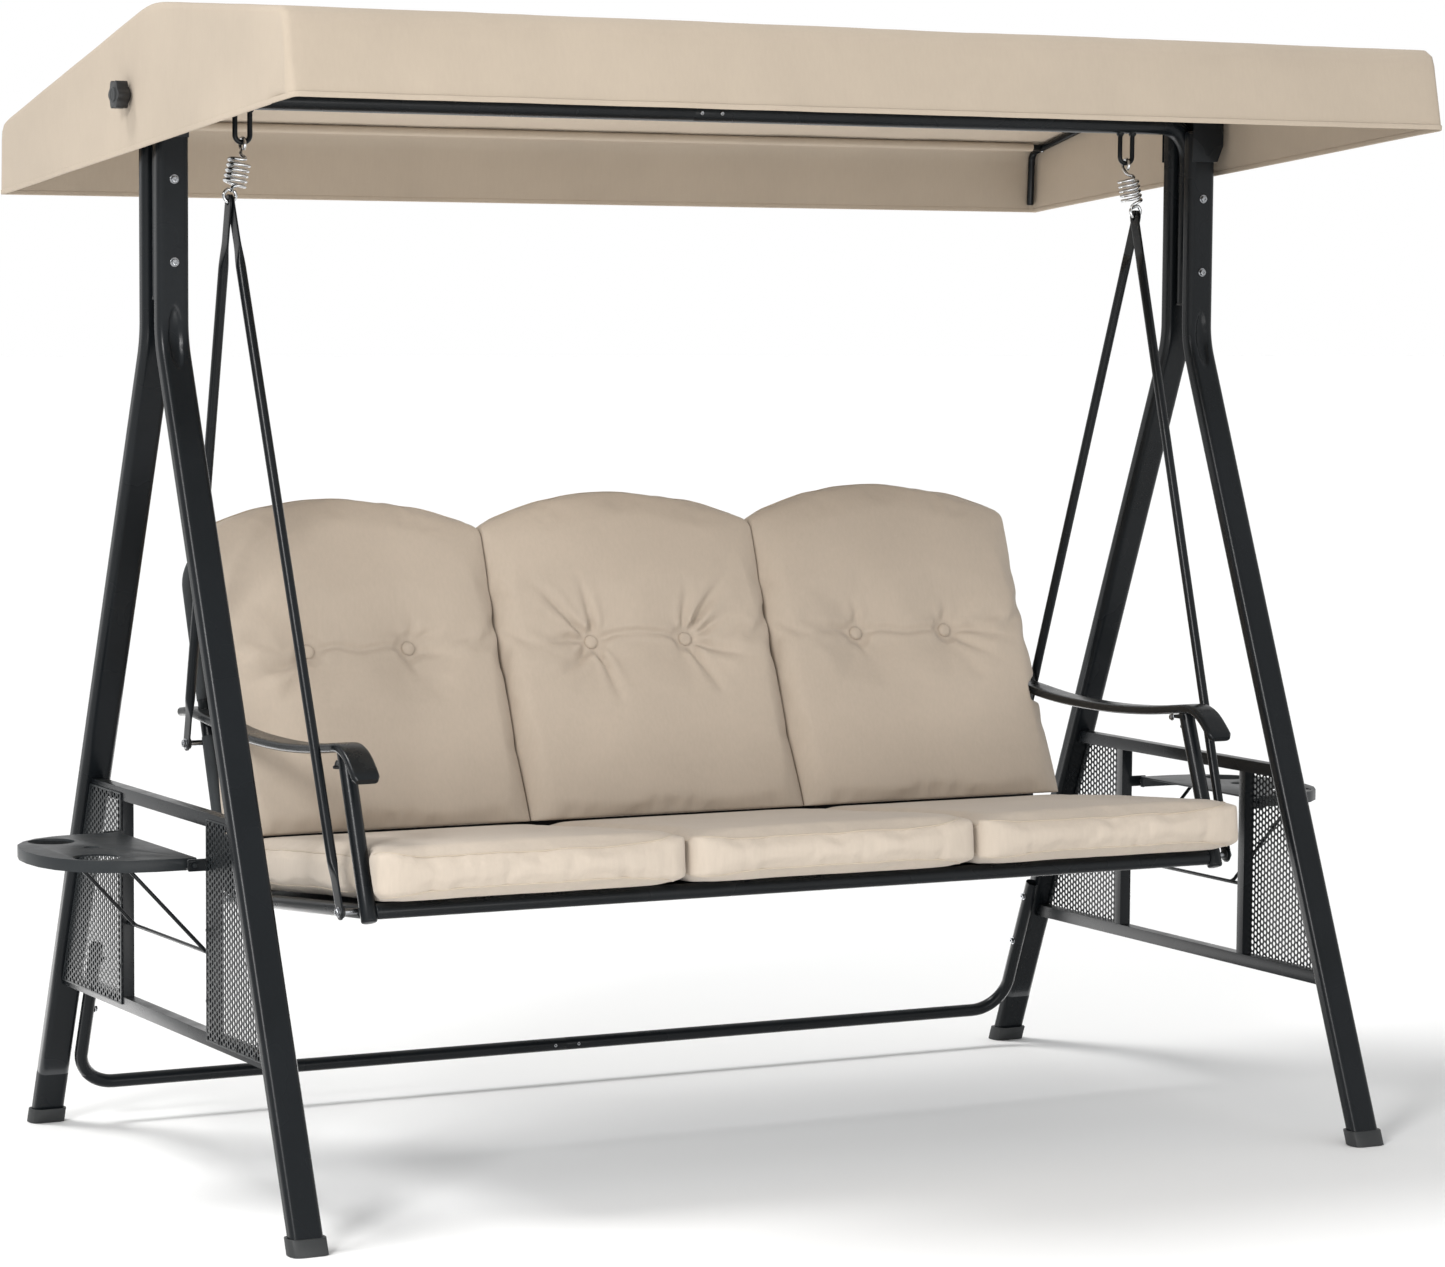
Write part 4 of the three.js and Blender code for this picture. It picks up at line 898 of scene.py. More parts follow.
# slings: one taut cloth each, sewn round its tubes, dipping slightly between them
def sling(name, node, plane, x_half, v0, v1, w_mid, sag, side_sign, corner=0.0):
    nx, nv = 61, 31
    V, F = [], []
    for j in range(nv):
        v = v0 + (v1 - v0) * j / (nv - 1)
        xh = x_half
        if corner and v > v1 - corner:
            k = (v - (v1 - corner)) / corner
            xh = x_half - corner * (1 - math.sqrt(max(0.0, 1 - k * k)))
        for i in range(nx):
            a = -1 + 2 * i / (nx - 1)
            b = -1 + 2 * j / (nv - 1)
            dip = sag * (1 - a ** 4) * (1 - b ** 4)
            ripple = 0.5 * math.sin(a * 37 + 2 * math.sin(b * 5)) * (1 - abs(b)) * abs(b)
            w = w_mid + side_sign * (dip + ripple)
            V.append(plane(np.array([a * xh, v, w]) if plane is in_seat else np.array([a * xh, w, v])))
    for j in range(nv - 1):
        for i in range(nx - 1):
            k = j * nx + i
            F.append((k, k + 1, k + nx + 1, k + nx))
    ob = make(name, G(np.array(V)), F, SLING, 60)
    m = ob.modifiers.new("thick", "SOLIDIFY")
    m.thickness, m.offset = 1.6 * MM, 0
    applied(ob)
    shade(ob, 50)
    stand(ob, "seat", node)
    return ob


seat_sling = sling("sling_seat", "seat_sling", in_seat, 728.5, 14.0, 547.5, 5.5, 3.0, -1)
back_sling = sling("sling_back", "back_sling", in_back, 728.5, 42, BACK_LEN - 12.5, -4.5, 3.5, 1, corner=58)
# sleeves sewn round the back tube, with a doubled hem and two rows of stitching on the rear face
back_path = fillet([in_back((-SEAT_X, 0, 70)), in_back((-SEAT_X, 0, BACK_LEN)), in_back((SEAT_X, 0, BACK_LEN)), in_back((SEAT_X, 0, 70))], [70, 70], 14)
cloth_bits = []
low_z, arm_lo, arm_hi = 70, 262, 322
for label, a, b in (("left_low", -1, None), ("right_low", 1, None)):
    P = straight(in_back((a * SEAT_X, 0, low_z)), in_back((a * SEAT_X, 0, arm_lo)), 14)
    cloth_bits.append(tube("sling_sleeve_" + label, P, SEAT_R + 0.9, SLING, n=24, cap="flat"))
P = fillet([in_back((-SEAT_X, 0, arm_hi)), in_back((-SEAT_X, 0, BACK_LEN)), in_back((SEAT_X, 0, BACK_LEN)), in_back((SEAT_X, 0, arm_hi))], [70, 70], 14)
cloth_bits.append(tube("sling_sleeve_top", P, SEAT_R + 0.9, SLING, n=24, cap="flat"))
for k, inset in enumerate((19.0, 25.5)):
    h = BACK_LEN - 11 - inset + 4
    xx = 730 - inset
    P = fillet([(-xx, 0, 56.0 + inset), (-xx, 0, h), (xx, 0, h), (xx, 0, 56.0 + inset)], [58, 58], 8)
    P = resample(P, 12)
    out = []
    for q in P:
        a, b = q[0] / 728.5, -1 + 2 * (q[2] - 42) / (BACK_LEN - 54.5)
        y = -4.5 + 3.5 * (1 - min(abs(a), 1) ** 4) * (1 - min(abs(b), 1) ** 4) + 0.75
        out.append(in_back((q[0], y, q[2])))
    cloth_bits.append(sweep(f"sling_stitch_{k}", out, round_rect(1.5, 1.1, 0.5, 2), SLING, across=None))
for zz in (58.0, 64.0):
    out = [in_back((xx, -4.5 + 3.5 * (1 - abs(xx / 728.5) ** 4) * (1 - min(abs(-1 + 2 * (zz - 42) / (BACK_LEN - 54.5)), 1) ** 4) + 0.75, zz)) for xx in np.linspace(-700, 700, 80)]
    cloth_bits.append(sweep(f"sling_hem_{int(zz)}", out, round_rect(1.5, 1.1, 0.5, 2), SLING, across=None))
for q in cloth_bits:
    stand(q, "seat", slot="sling")

# ------------------------------------------------------------------ canopy
ROOF = [(595, 1500), (590, 1613), (-87, 1773), (-613, 1743), (-640, 1620)]
ROOF_R = [30, 320, 26]
WALL = 2.5


def profile(inset, drop, seg=12):
    """The roof line moved inwards, as (Y, Z) points from the back hem to the front hem."""
    p = [np.array(q, float) for q in ROOF]
    nrm = []
    for a, b in zip(p, p[1:]):
        d = (b - a) / np.linalg.norm(b - a)
        nrm.append(np.array([-d[1], d[0]]))
    q = []
    for i, pt in enumerate(p):
        if i == 0:
            q.append(pt + nrm[0] * inset)
        elif i == len(p) - 1:
            q.append(pt + nrm[-1] * inset)
        else:
            a, b = nrm[i - 1], nrm[i]
            q.append(pt + (a + b) * inset / (1 + a @ b))
    q[0] = q[0] + (p[0] - p[1]) / np.linalg.norm(p[0] - p[1]) * drop
    q[-1] = q[-1] + (p[4] - p[3]) / np.linalg.norm(p[4] - p[3]) * drop
    radii = [max(2, r if i == 1 else r - inset) for i, r in enumerate(ROOF_R)]
    return np.array([(v[1], v[2]) for v in fillet([(0, y, z) for y, z in q], radii, seg)])


# is the inset really inwards? the roof's own middle must get lower
INW = 1.0 if profile(9.4, 0)[:, 1].max() < profile(0, 0)[:, 1].max() else -1.0


def canopy_mesh():
    base = profile(0, 0)
    pts = resample(base, 17)
    # keep the two tight corners round
    n = len(pts)
    tang = np.zeros_like(pts)
    tang[1:-1] = pts[2:] - pts[:-2]
    tang[0], tang[-1] = pts[1] - pts[0], pts[-1] - pts[-2]
    tang /= np.linalg.norm(tang, axis=1)[:, None]
    inward = np.stack([-tang[:, 1], tang[:, 0]], 1) * INW
    r = 10.0
    cols = []          # each column is (x, inset, row fraction down the gable)
    rows = 11
    for k in range(rows, 0, -1):
        cols.append((-1, k / rows, None))
    for k in (90, 68, 45, 22, 0):
        cols.append((-1, None, k))
    xs = np.linspace(-CANOPY_X + r, CANOPY_X - r, 110)[1:-1]
    hem0, hem1 = pts[0] + inward[0] * r, pts[-1] + inward[-1] * r
    V = []
    ncol = None
    for j in range(n):
        row = []
        arc = j / (n - 1)
        hem = hem0 + (hem1 - hem0) * arc
        edge = pts[j] + inward[j] * r
        if j == 0:
            edge = pts[j] + inward[j] * r
        for side in (-1, 1):
            gable = []
            for k in range(rows, 0, -1):
                q = edge + (hem - edge) * (k / rows)
                gable.append((side * CANOPY_X, q[0], q[1]))
            for deg in (90, 68, 45, 22, 0):
                a = rad(deg)
                q = pts[j] + inward[j] * r * (1 - math.cos(a))
                gable.append((side * (CANOPY_X - r + r * math.sin(a)), q[0], q[1]))
            if side < 0:
                row += gable
                row += [(x, pts[j][0], pts[j][1]) for x in xs]
            else:
                row += gable[::-1]
        V += row
        ncol = len(row)
    F = []
    for j in range(n - 1):
        for i in range(ncol - 1):
            k = j * ncol + i
            F.append((k, k + 1, k + ncol + 1, k + ncol))
    V = np.array(V)
    # hang: the cloth dips between bows and rails, swells over them, and waves a little along its hems
    nrm3 = np.zeros_like(V)
    for j in range(n):
        nrm3[j * ncol:(j + 1) * ncol, 1] = inward[j][0]
        nrm3[j * ncol:(j + 1) * ncol, 2] = inward[j][1]
    g = rows + 1
    out = V.copy()
    for j in range(n):
        y, z = pts[j]
        rail = min(abs(y + 572), abs(y - 545)) if z > 1600 else 0
        span = smoothstep(rail / 260.0)
        for i in range(ncol):
            k = j * ncol + i
            x, yy, zz = V[k]
            wav = noise.noise(Vector((x * 0.0045, yy * 0.004, zz * 0.004)))
            fine = noise.noise(Vector((x * 0.021 + 9, yy * 0.012, zz * 0.02)))
            if g <= i < ncol - g:
                a = abs(x) / 960.0
                dip = 9.0 * float(span) * (1 - a ** 3)
                hem = smoothstep((1690 - zz) / 60.0) if yy < -600 or yy > 560 else 0
                out[k] += nrm3[k] * (dip + 1.4 * wav * (1 - a ** 6) + 0.5 * fine + float(hem) * 1.6 * noise.noise(Vector((x * 0.012, 3.1 if yy < 0 else 8.2, 0))))
            else:
                down = 0.0 if i >= g and i < ncol - g else 1.0
                sgn = 1 if x > 0 else -1
                inside = min(1.0, max(0.0, (arc_clear(yy, zz)) / 60.0))
                out[k][0] += sgn * (-1.0 * inside * (1.6 + 2.4 * wav + 0.7 * fine))
    return out, F, n, ncol, pts


def arc_clear(y, z):
    """Distance of a gable point below the roof line, millimetres."""
    line = profile(0, 0, 4)
    return float(np.min(np.hypot(line[:, 0] - y, line[:, 1] - z)))


_line = profile(0, 0, 6)
_line = resample(_line, 12)


def arc_clear(y, z):
    return float(np.min(np.hypot(_line[:, 0] - y, _line[:, 1] - z)))


V, F, n_st, n_col, st = canopy_mesh()
# pucker at the foot of the left front corner
front = V[:, 1] < -560
d = np.hypot((V[:, 0] + 970), (V[:, 2] - 1622) * 1.0)
V[:, 0] += np.where(front & (d < 60), 3.0 * np.sin(V[:, 2] * 0.35) * np.exp(-d / 22), 0)
cover = make("canopy_cloth", G(V), F, CANVAS, 70)
bm = bmesh.new()
bm.from_mesh(cover.data)
bmesh.ops.remove_doubles(bm, verts=bm.verts, dist=2e-5)
bmesh.ops.recalc_face_normals(bm, faces=bm.faces)
if sum(f.normal.z * f.calc_area() for f in bm.faces) < 0:
    bmesh.ops.reverse_faces(bm, faces=bm.faces)
bm.to_mesh(cover.data)
bm.free()
m = cover.modifiers.new("thick", "SOLIDIFY")
m.thickness, m.offset, m.use_even_offset = 1.5 * MM, 0, False
applied(cover)
shade(cover, 60)
# clearance for the two clamp studs
cut(cover, *[lathe("c", [(5.5, -25), (5.5, 25)], (s * CANOPY_X, 0, BAR_Z), (1, 0, 0), CANVAS, n=20) for _, s in SIDES])
shade(cover, 60)
stand(cover, "canopy", "canopy_cover")

# doubled hem all round, standing slightly proud
hem_pts = []
idx = []
rowlen = n_col
bottom = [V[(n_st - 1) * rowlen + i] for i in range(rowlen)]          # front hem and gable sides' front
back_row = [V[i] for i in range(rowlen)]
left_col = [V[j * rowlen] for j in range(n_st)]
right_col = [V[j * rowlen + rowlen - 1] for j in range(n_st)]
g = 12


def lifted(p, up):
    return np.array(p) + np.array([0, 0, up])


g = 11
ring = [q for q in bottom[g:-g]] + [q for q in right_col[::-1]] + [q for q in back_row[g:-g][::-1]] + [q for q in left_col]
ring = np.array(ring)
keep = [0]
for i in range(1, len(ring)):
    if np.linalg.norm(ring[i] - ring[keep[-1]]) > 3.2 and np.linalg.norm(ring[i] - ring[0]) > 3.2:
        keep.append(i)
ring = ring[keep]
RING = ring.copy()


def ribbon(name, ring, up0, up1, thick, mat):
    """Upright band that follows a closed hem line, between two heights above it, slightly proud on both faces."""
    P = np.array(ring)
    n = len(P)
    T = np.roll(P, -1, 0) - np.roll(P, 1, 0)
    T[:, 2] = 0
    T /= np.linalg.norm(T, axis=1)[:, None]
    O = np.stack([T[:, 1], -T[:, 0], np.zeros(n)], 1)
    for _ in range(2):
        O = (np.roll(O, 1, 0) + O * 2 + np.roll(O, -1, 0)) / 4
    h = thick / 2
    secs = [(-h * 0.6, up0), (h * 0.6, up0), (h, up0 + 1.2), (h, up1 - 1.2), (h * 0.5, up1), (-h * 0.5, up1), (-h, up1 - 1.2), (-h, up0 + 1.2)]
    V, F = [], []
    for o, up in secs:
        V.append(P + O * o + np.array([0, 0, 1.0]) * up)
    V = np.stack(V, 1).reshape(-1, 3)
    m = len(secs)
    for i in range(n):
        for k in range(m):
            a, b = i * m, ((i + 1) % n) * m
            q = (k + 1) % m
            F.append((a + k, a + q, b + q, b + k))
    return make(name, G(V), F, mat, 50)


hem = sweep("canopy_hem", RING + np.array([0, 0, 3.0]), round_rect(8.0, 3.2, 1.5, 3), CANVAS, across=(0, 0, 1), closed=True)
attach(hem, "canopy")

BOW_X, BOW_R = 960.4, 6.2
BOW_IN = (WALL + BOW_R + 0.7)
bow_line = profile(BOW_IN * INW, -14, 14)
for side, s in SIDES:
    P = [np.array([s * (BOW_X - 1.5), y, z]) for y, z in bow_line]
    bow = tube(f"bow_{side}", P, BOW_R, PAINT, n=20)
    stand(bow, "canopy", f"canopy_bow_{side}")
    outline = [(-18, 1636), (-15, 1628), (-8, 1624), (8, 1624), (15, 1628), (18, 1636), (18, 1739), (-18, 1747)]
    strap = plate(f"bow_strap_{side}", outline, s * (BOW_X - 1.5), s * (BOW_X + 1.5), PAINT, 0.6)
    cut(strap, lathe("c", [(4.8, -12), (4.8, 12)], (s * BOW_X, 0, BAR_Z), (1, 0, 0), PAINT, n=20))
    shade(strap, 35)
    stand(strap, "canopy", slot="frame_paint")
xr = BOW_X - BOW_R - 1.9


def bow_z(target):
    for a, b in zip(bow_line, bow_line[1:]):
        if (a[0] - target) * (b[0] - target) <= 0 and abs(a[0] - b[0]) > 2:
            return a[1] + (target - a[0]) * (b[1] - a[1]) / (b[0] - a[0])
    return 1650


for name, y in (("canopy_rail_front", -572), ("canopy_rail_back", 545)):
    z = bow_z(y)
    stand(tube("roof_" + name[7:], straight((-xr, y, z), (xr, y, z), 16), BOW_R, PAINT, n=20), "canopy", name)
    sleeve = straight((-xr + 16, y, z + 0.6), (xr - 16, y, z + 0.6), 90)
    sleeve = [q + np.array([0, 0.35 * noise.noise(Vector((q[0] * 0.02, y, 0))), 0.4 * noise.noise(Vector((q[0] * 0.03, y, 4)))]) for q in sleeve]
    stand(tube("roof_sleeve_" + name[12:], sleeve, BOW_R + 1.1, CANVAS, n=20, cap="flat"), "canopy", slot="canopy_cloth")
    for side, s in SIDES:
        stand(hexbolt(f"roof_screw_{name[12:]}_{side}", (s * (BOW_X - 2), y, z - BOW_R + 0.4), (0, 0, -1), r=3.2, h=2.0, washer=False), "canopy", slot="zinc")

for side, s in SIDES:
    k = detail(f"canopy_knob_{side}", BLACK, bevel=2.2, seg=3, limit=50, smooth=50)
    stand(lathe(f"knob_cap_{side}", [(11.5, 0), (11.2, 1.2), (9.6, 2.0), (8.6, 1.5), (5, 1.8), (1, 1.9)], (s * (CANOPY_X + 22.9), 0, BAR_Z), (s, 0, 0), CAP, n=28), f"knob_{side}", slot="knob")

# ------------------------------------------------------------------ side trays and their wire props
for side, s in SIDES:
    detail(f"tray_{side}", PAINT_TRAY, bevel=1.3, seg=3, limit=32, smooth=45)
    P = fillet([(s * WIRE_TOP_X, UPRIGHT_C - WIRE_HALF, WIRE_TOP_Z), (s * POST_X, UPRIGHT_C - WIRE_HALF, WIRE_Z), (s * POST_X, UPRIGHT_C + WIRE_HALF, WIRE_Z), (s * WIRE_TOP_X, UPRIGHT_C + WIRE_HALF, WIRE_TOP_Z)], [8, 8], 8)
    stand(tube(f"wire_{side}", P, WIRE_R, PAINT, n=14), f"tray_wire_{side}_body", f"tray_wire_{side}")
    a, b = UPRIGHT_C - UPRIGHT_Y + UPRIGHT_S / 2 + 0.5, UPRIGHT_C + UPRIGHT_Y - UPRIGHT_S / 2 - 0.5
    stand(tube(f"wire_pivot_{side}", straight((s * POST_X, a, WIRE_Z), (s * POST_X, b, WIRE_Z), 6), WIRE_R, PAINT, n=14), f"tray_wire_{side}_body", slot="frame_paint")


# ------------------------------------------------------------------ cushions
def keep_in(v, limit, soft):
    """Smoothly holds |v| under limit."""
    a = np.abs(v)
    t = limit - soft
    return np.sign(v) * np.where(a > t, limit - soft * np.exp(-(a - t) / soft), a)


def keep_over(v, limit, soft):
    t = limit + soft
    return np.where(v < t, limit + soft * np.exp((v - t) / soft), v)


def keep_under(v, limit, soft):
    return -keep_over(-v, -limit, soft)


def pad(name, half_x, v0, v1, thick, corner_r, edge_r, step, press=None):
    """A boxed pad about the origin of its own plane: x across, v along, t through its thickness from 0 to thick.
    press(x, v, t) gives t after shaping. Sewn forms start a little smaller than they end."""
    nx, nv, nt = int(2 * half_x / step), int((v1 - v0) / step), max(3, int(thick / step))
    bm = bmesh.new()
    bmesh.ops.create_cube(bm, size=2.0)
    ex = [e for e in bm.edges if abs(e.verts[0].co.x - e.verts[1].co.x) > 1]
    bmesh.ops.subdivide_edges(bm, edges=ex, cuts=nx, use_grid_fill=True)
    ev = [e for e in bm.edges if abs(e.verts[0].co.y - e.verts[1].co.y) > 1]
    bmesh.ops.subdivide_edges(bm, edges=ev, cuts=nv, use_grid_fill=True)
    et = [e for e in bm.edges if abs(e.verts[0].co.z - e.verts[1].co.z) > 1]
    bmesh.ops.subdivide_edges(bm, edges=et, cuts=nt, use_grid_fill=True)
    me = bpy.data.meshes.new(name)
    bm.to_mesh(me)
    bm.free()
    co = coords(me)
    x, v, t = co[:, 0] * half_x, (v0 + v1) / 2 + co[:, 1] * (v1 - v0) / 2, (co[:, 2] + 1) / 2 * thick

    def rounded(a, b, ha, hb, ca, cb, r):
        da, db = np.abs(a - ca) - (ha - r), np.abs(b - cb) - (hb - r)
        m = (da > 0) & (db > 0)
        hyp = np.hypot(da, db)
        k = np.where(m, np.maximum(da, db) / np.maximum(hyp, 1e-9), 1)
        na = np.where(m, ca + np.sign(a - ca) * (ha - r + da * k), a)
        nb = np.where(m, cb + np.sign(b - cb) * (hb - r + db * k), b)
        return na, nb

    x, v = rounded(x, v, half_x, (v1 - v0) / 2, 0, (v0 + v1) / 2, corner_r)
    x, t = rounded(x, t, half_x, thick / 2, 0, thick / 2, edge_r)
    v, t = rounded(v, t, (v1 - v0) / 2, thick / 2, (v0 + v1) / 2, thick / 2, edge_r)
    if press:
        x, v, t = press(x, v, t)
    put_coords(me, np.stack([x, v, t], 1) * MM)
    ob = bpy.data.objects.new(name, me)
    scene.collection.objects.link(ob)
    m = ob.modifiers.new("even", "REMESH")
    m.mode, m.voxel_size, m.adaptivity = "VOXEL", step * MM, 0.0
    applied(ob)
    return ob


def inflate(ob, pins, cap, pressure=4.0):
    """Fills the sewn case with pressure; pins are (x, v, t0, radius) spots in millimetres that stay where they were sewn."""
    start = coords(ob.data)
    vg = ob.vertex_groups.new(name="pin")
    P = start / MM
    for i in range(len(P)):
        for px, pv, side, r in pins:
            if math.hypot(P[i, 0] - px, P[i, 1] - pv) < r and (side is None or (P[i, 2] > 45) == side):
                vg.add([i], 1.0, "REPLACE")
    m = ob.modifiers.new("Cloth", "CLOTH")
    st = m.settings
    st.quality = 5
    st.mass = 0.3
    st.tension_stiffness = st.compression_stiffness = 14
    st.shear_stiffness = 6
    st.bending_stiffness = 0.6
    st.tension_damping = st.compression_damping = 6
    st.use_pressure = True
    st.uniform_pressure_force = pressure
    st.effector_weights.gravity = 0
    if pins:
        st.vertex_group_mass = "pin"
    m.collision_settings.use_collision = False
    m.point_cache.frame_start, m.point_cache.frame_end = 1, 21
    for f in range(1, 21):
        scene.frame_set(f)
    applied(ob)
    scene.frame_set(1)
    end = coords(ob.data)
    d = end - start
    L = np.linalg.norm(d, axis=1)
    k = np.where(L > cap * MM, cap * MM / np.maximum(L, 1e-9), 1)
    put_coords(ob.data, start + d * k[:, None])
    return ob


def smooth_pass(me, rounds=4, f=0.5):
    n = len(me.vertices)
    e = np.zeros(len(me.edges) * 2, np.int32)
    me.edges.foreach_get("vertices", e)
    e = e.reshape(-1, 2)
    co = coords(me)
    deg = np.bincount(e.ravel(), minlength=n).astype(float)[:, None]
    for _ in range(rounds):
        acc = np.zeros_like(co)
        np.add.at(acc, e[:, 0], co[e[:, 1]])
        np.add.at(acc, e[:, 1], co[e[:, 0]])
        co = co * (1 - f) + acc / np.maximum(deg, 1) * f
    put_coords(me, co)


def fit_out(ob, half_x, v0, v1, v_mid, t0=None, t1=None):
    """Stretches a filled pad so that its sides and ends reach where they press against their neighbours."""
    co = coords(ob.data) / MM
    x, v, t = co.T
    band = np.abs(v - v_mid) < 70
    k = half_x / np.percentile(np.abs(x[band]), 99.7)
    x = x * k
    mid = np.abs(x) < 60
    a, b = np.percentile(v[mid], 0.1), np.percentile(v[mid], 99.9)
    v = v0 + (v - a) * (v1 - v0) / (b - a)
    if t0 is not None:
        a, b = np.percentile(t, 0.5), np.percentile(t, 99.7)
        t = t0 + (t - a) * (t1 - t0) / (b - a)
    put_coords(ob.data, np.stack([x, v, t], 1) * MM)


def refine(ob):
    m = ob.modifiers.new("sub", "SUBSURF")
    m.levels = m.render_levels = 1
    applied(ob)
    for p in ob.data.polygons:
        p.use_smooth = True


def seg_dist(x, v, pts):
    """Distance to a polyline, and how far along it (0 to 1) the nearest point is."""
    best = np.full(x.shape, 1e9)
    along = np.zeros(x.shape)
    pts = np.array(pts, float)
    L = np.r_[0, np.cumsum(np.linalg.norm(np.diff(pts, axis=0), axis=1))]
    for i in range(len(pts) - 1):
        a, b = pts[i], pts[i + 1]
        d = b - a
        t = np.clip(((x - a[0]) * d[0] + (v - a[1]) * d[1]) / (d @ d), 0, 1)
        q = np.hypot(x - a[0] - t * d[0], v - a[1] - t * d[1])
        m = q < best
        best = np.where(m, q, best)
        along = np.where(m, (L[i] + t * (L[i + 1] - L[i])) / L[-1], along)
    return best, along


def sewn_edge(name, ob, outline, direction, mat, radius=1.5, slot=None):
    """Piped seam laid on the cushion: a closed line of points round its edge, each dropped onto the surface."""
    bvh = BVHTree.FromPolygons([tuple(v.co) for v in ob.data.vertices], [tuple(p.vertices) for p in ob.data.polygons])
    pts = []
    for q, d in zip(outline, direction):
        d = Vector(d).normalized()
        hit = bvh.ray_cast(Vector(q) * MM + d * 0.09, -d, 0.16)
        if hit[0] is not None:
            pts.append(np.array(hit[0]) / MM + np.array(d) * (radius * 0.25))
    P = np.array(pts)
    for _ in range(2):
        P = (np.roll(P, 1, 0) + 2 * P + np.roll(P, -1, 0)) / 4
    seam = sweep(name, P, circle(radius, 8), mat, across=None, closed=True, world=False)
    return seam


def to_world(ob, plane, cx=0.0):
    co = coords(ob.data) / MM
    co[:, 0] += cx
    if plane is in_back:
        co = np.stack([co[:, 0], -co[:, 2], co[:, 1]], 1)        # t is measured towards the sitter
        put_coords(ob.data, G(in_back(co)))
    else:
        put_coords(ob.data, G(in_seat(co)))


POST_DIR = (HEAD - FOOT) / np.linalg.norm(HEAD - FOOT)


def seat_local(p):
    y, z = p[..., 1] - SEAT_FRONT_Y, p[..., 2] - SEAT_FRONT_Z
    return y * cs - z * sn, y * sn + z * cs


def perimeter(hx, v0, v1, r, step=9):
    pts = round_rect(2 * hx, v1 - v0, r, 10, 1)
    pts = np.vstack([pts, pts[:1]])
    pts = resample(pts, step)[:-1]
    pts[:, 1] += (v0 + v1) / 2
    out = pts - np.array([0, (v0 + v1) / 2])
    nrm = np.roll(pts, -1, 0) - np.roll(pts, 1, 0)
    nrm = np.stack([nrm[:, 1], -nrm[:, 0]], 1)
    nrm /= np.linalg.norm(nrm, axis=1)[:, None]
    flip = np.sign(np.sum(nrm * out, 1))[:, None]
    return pts, nrm * flip


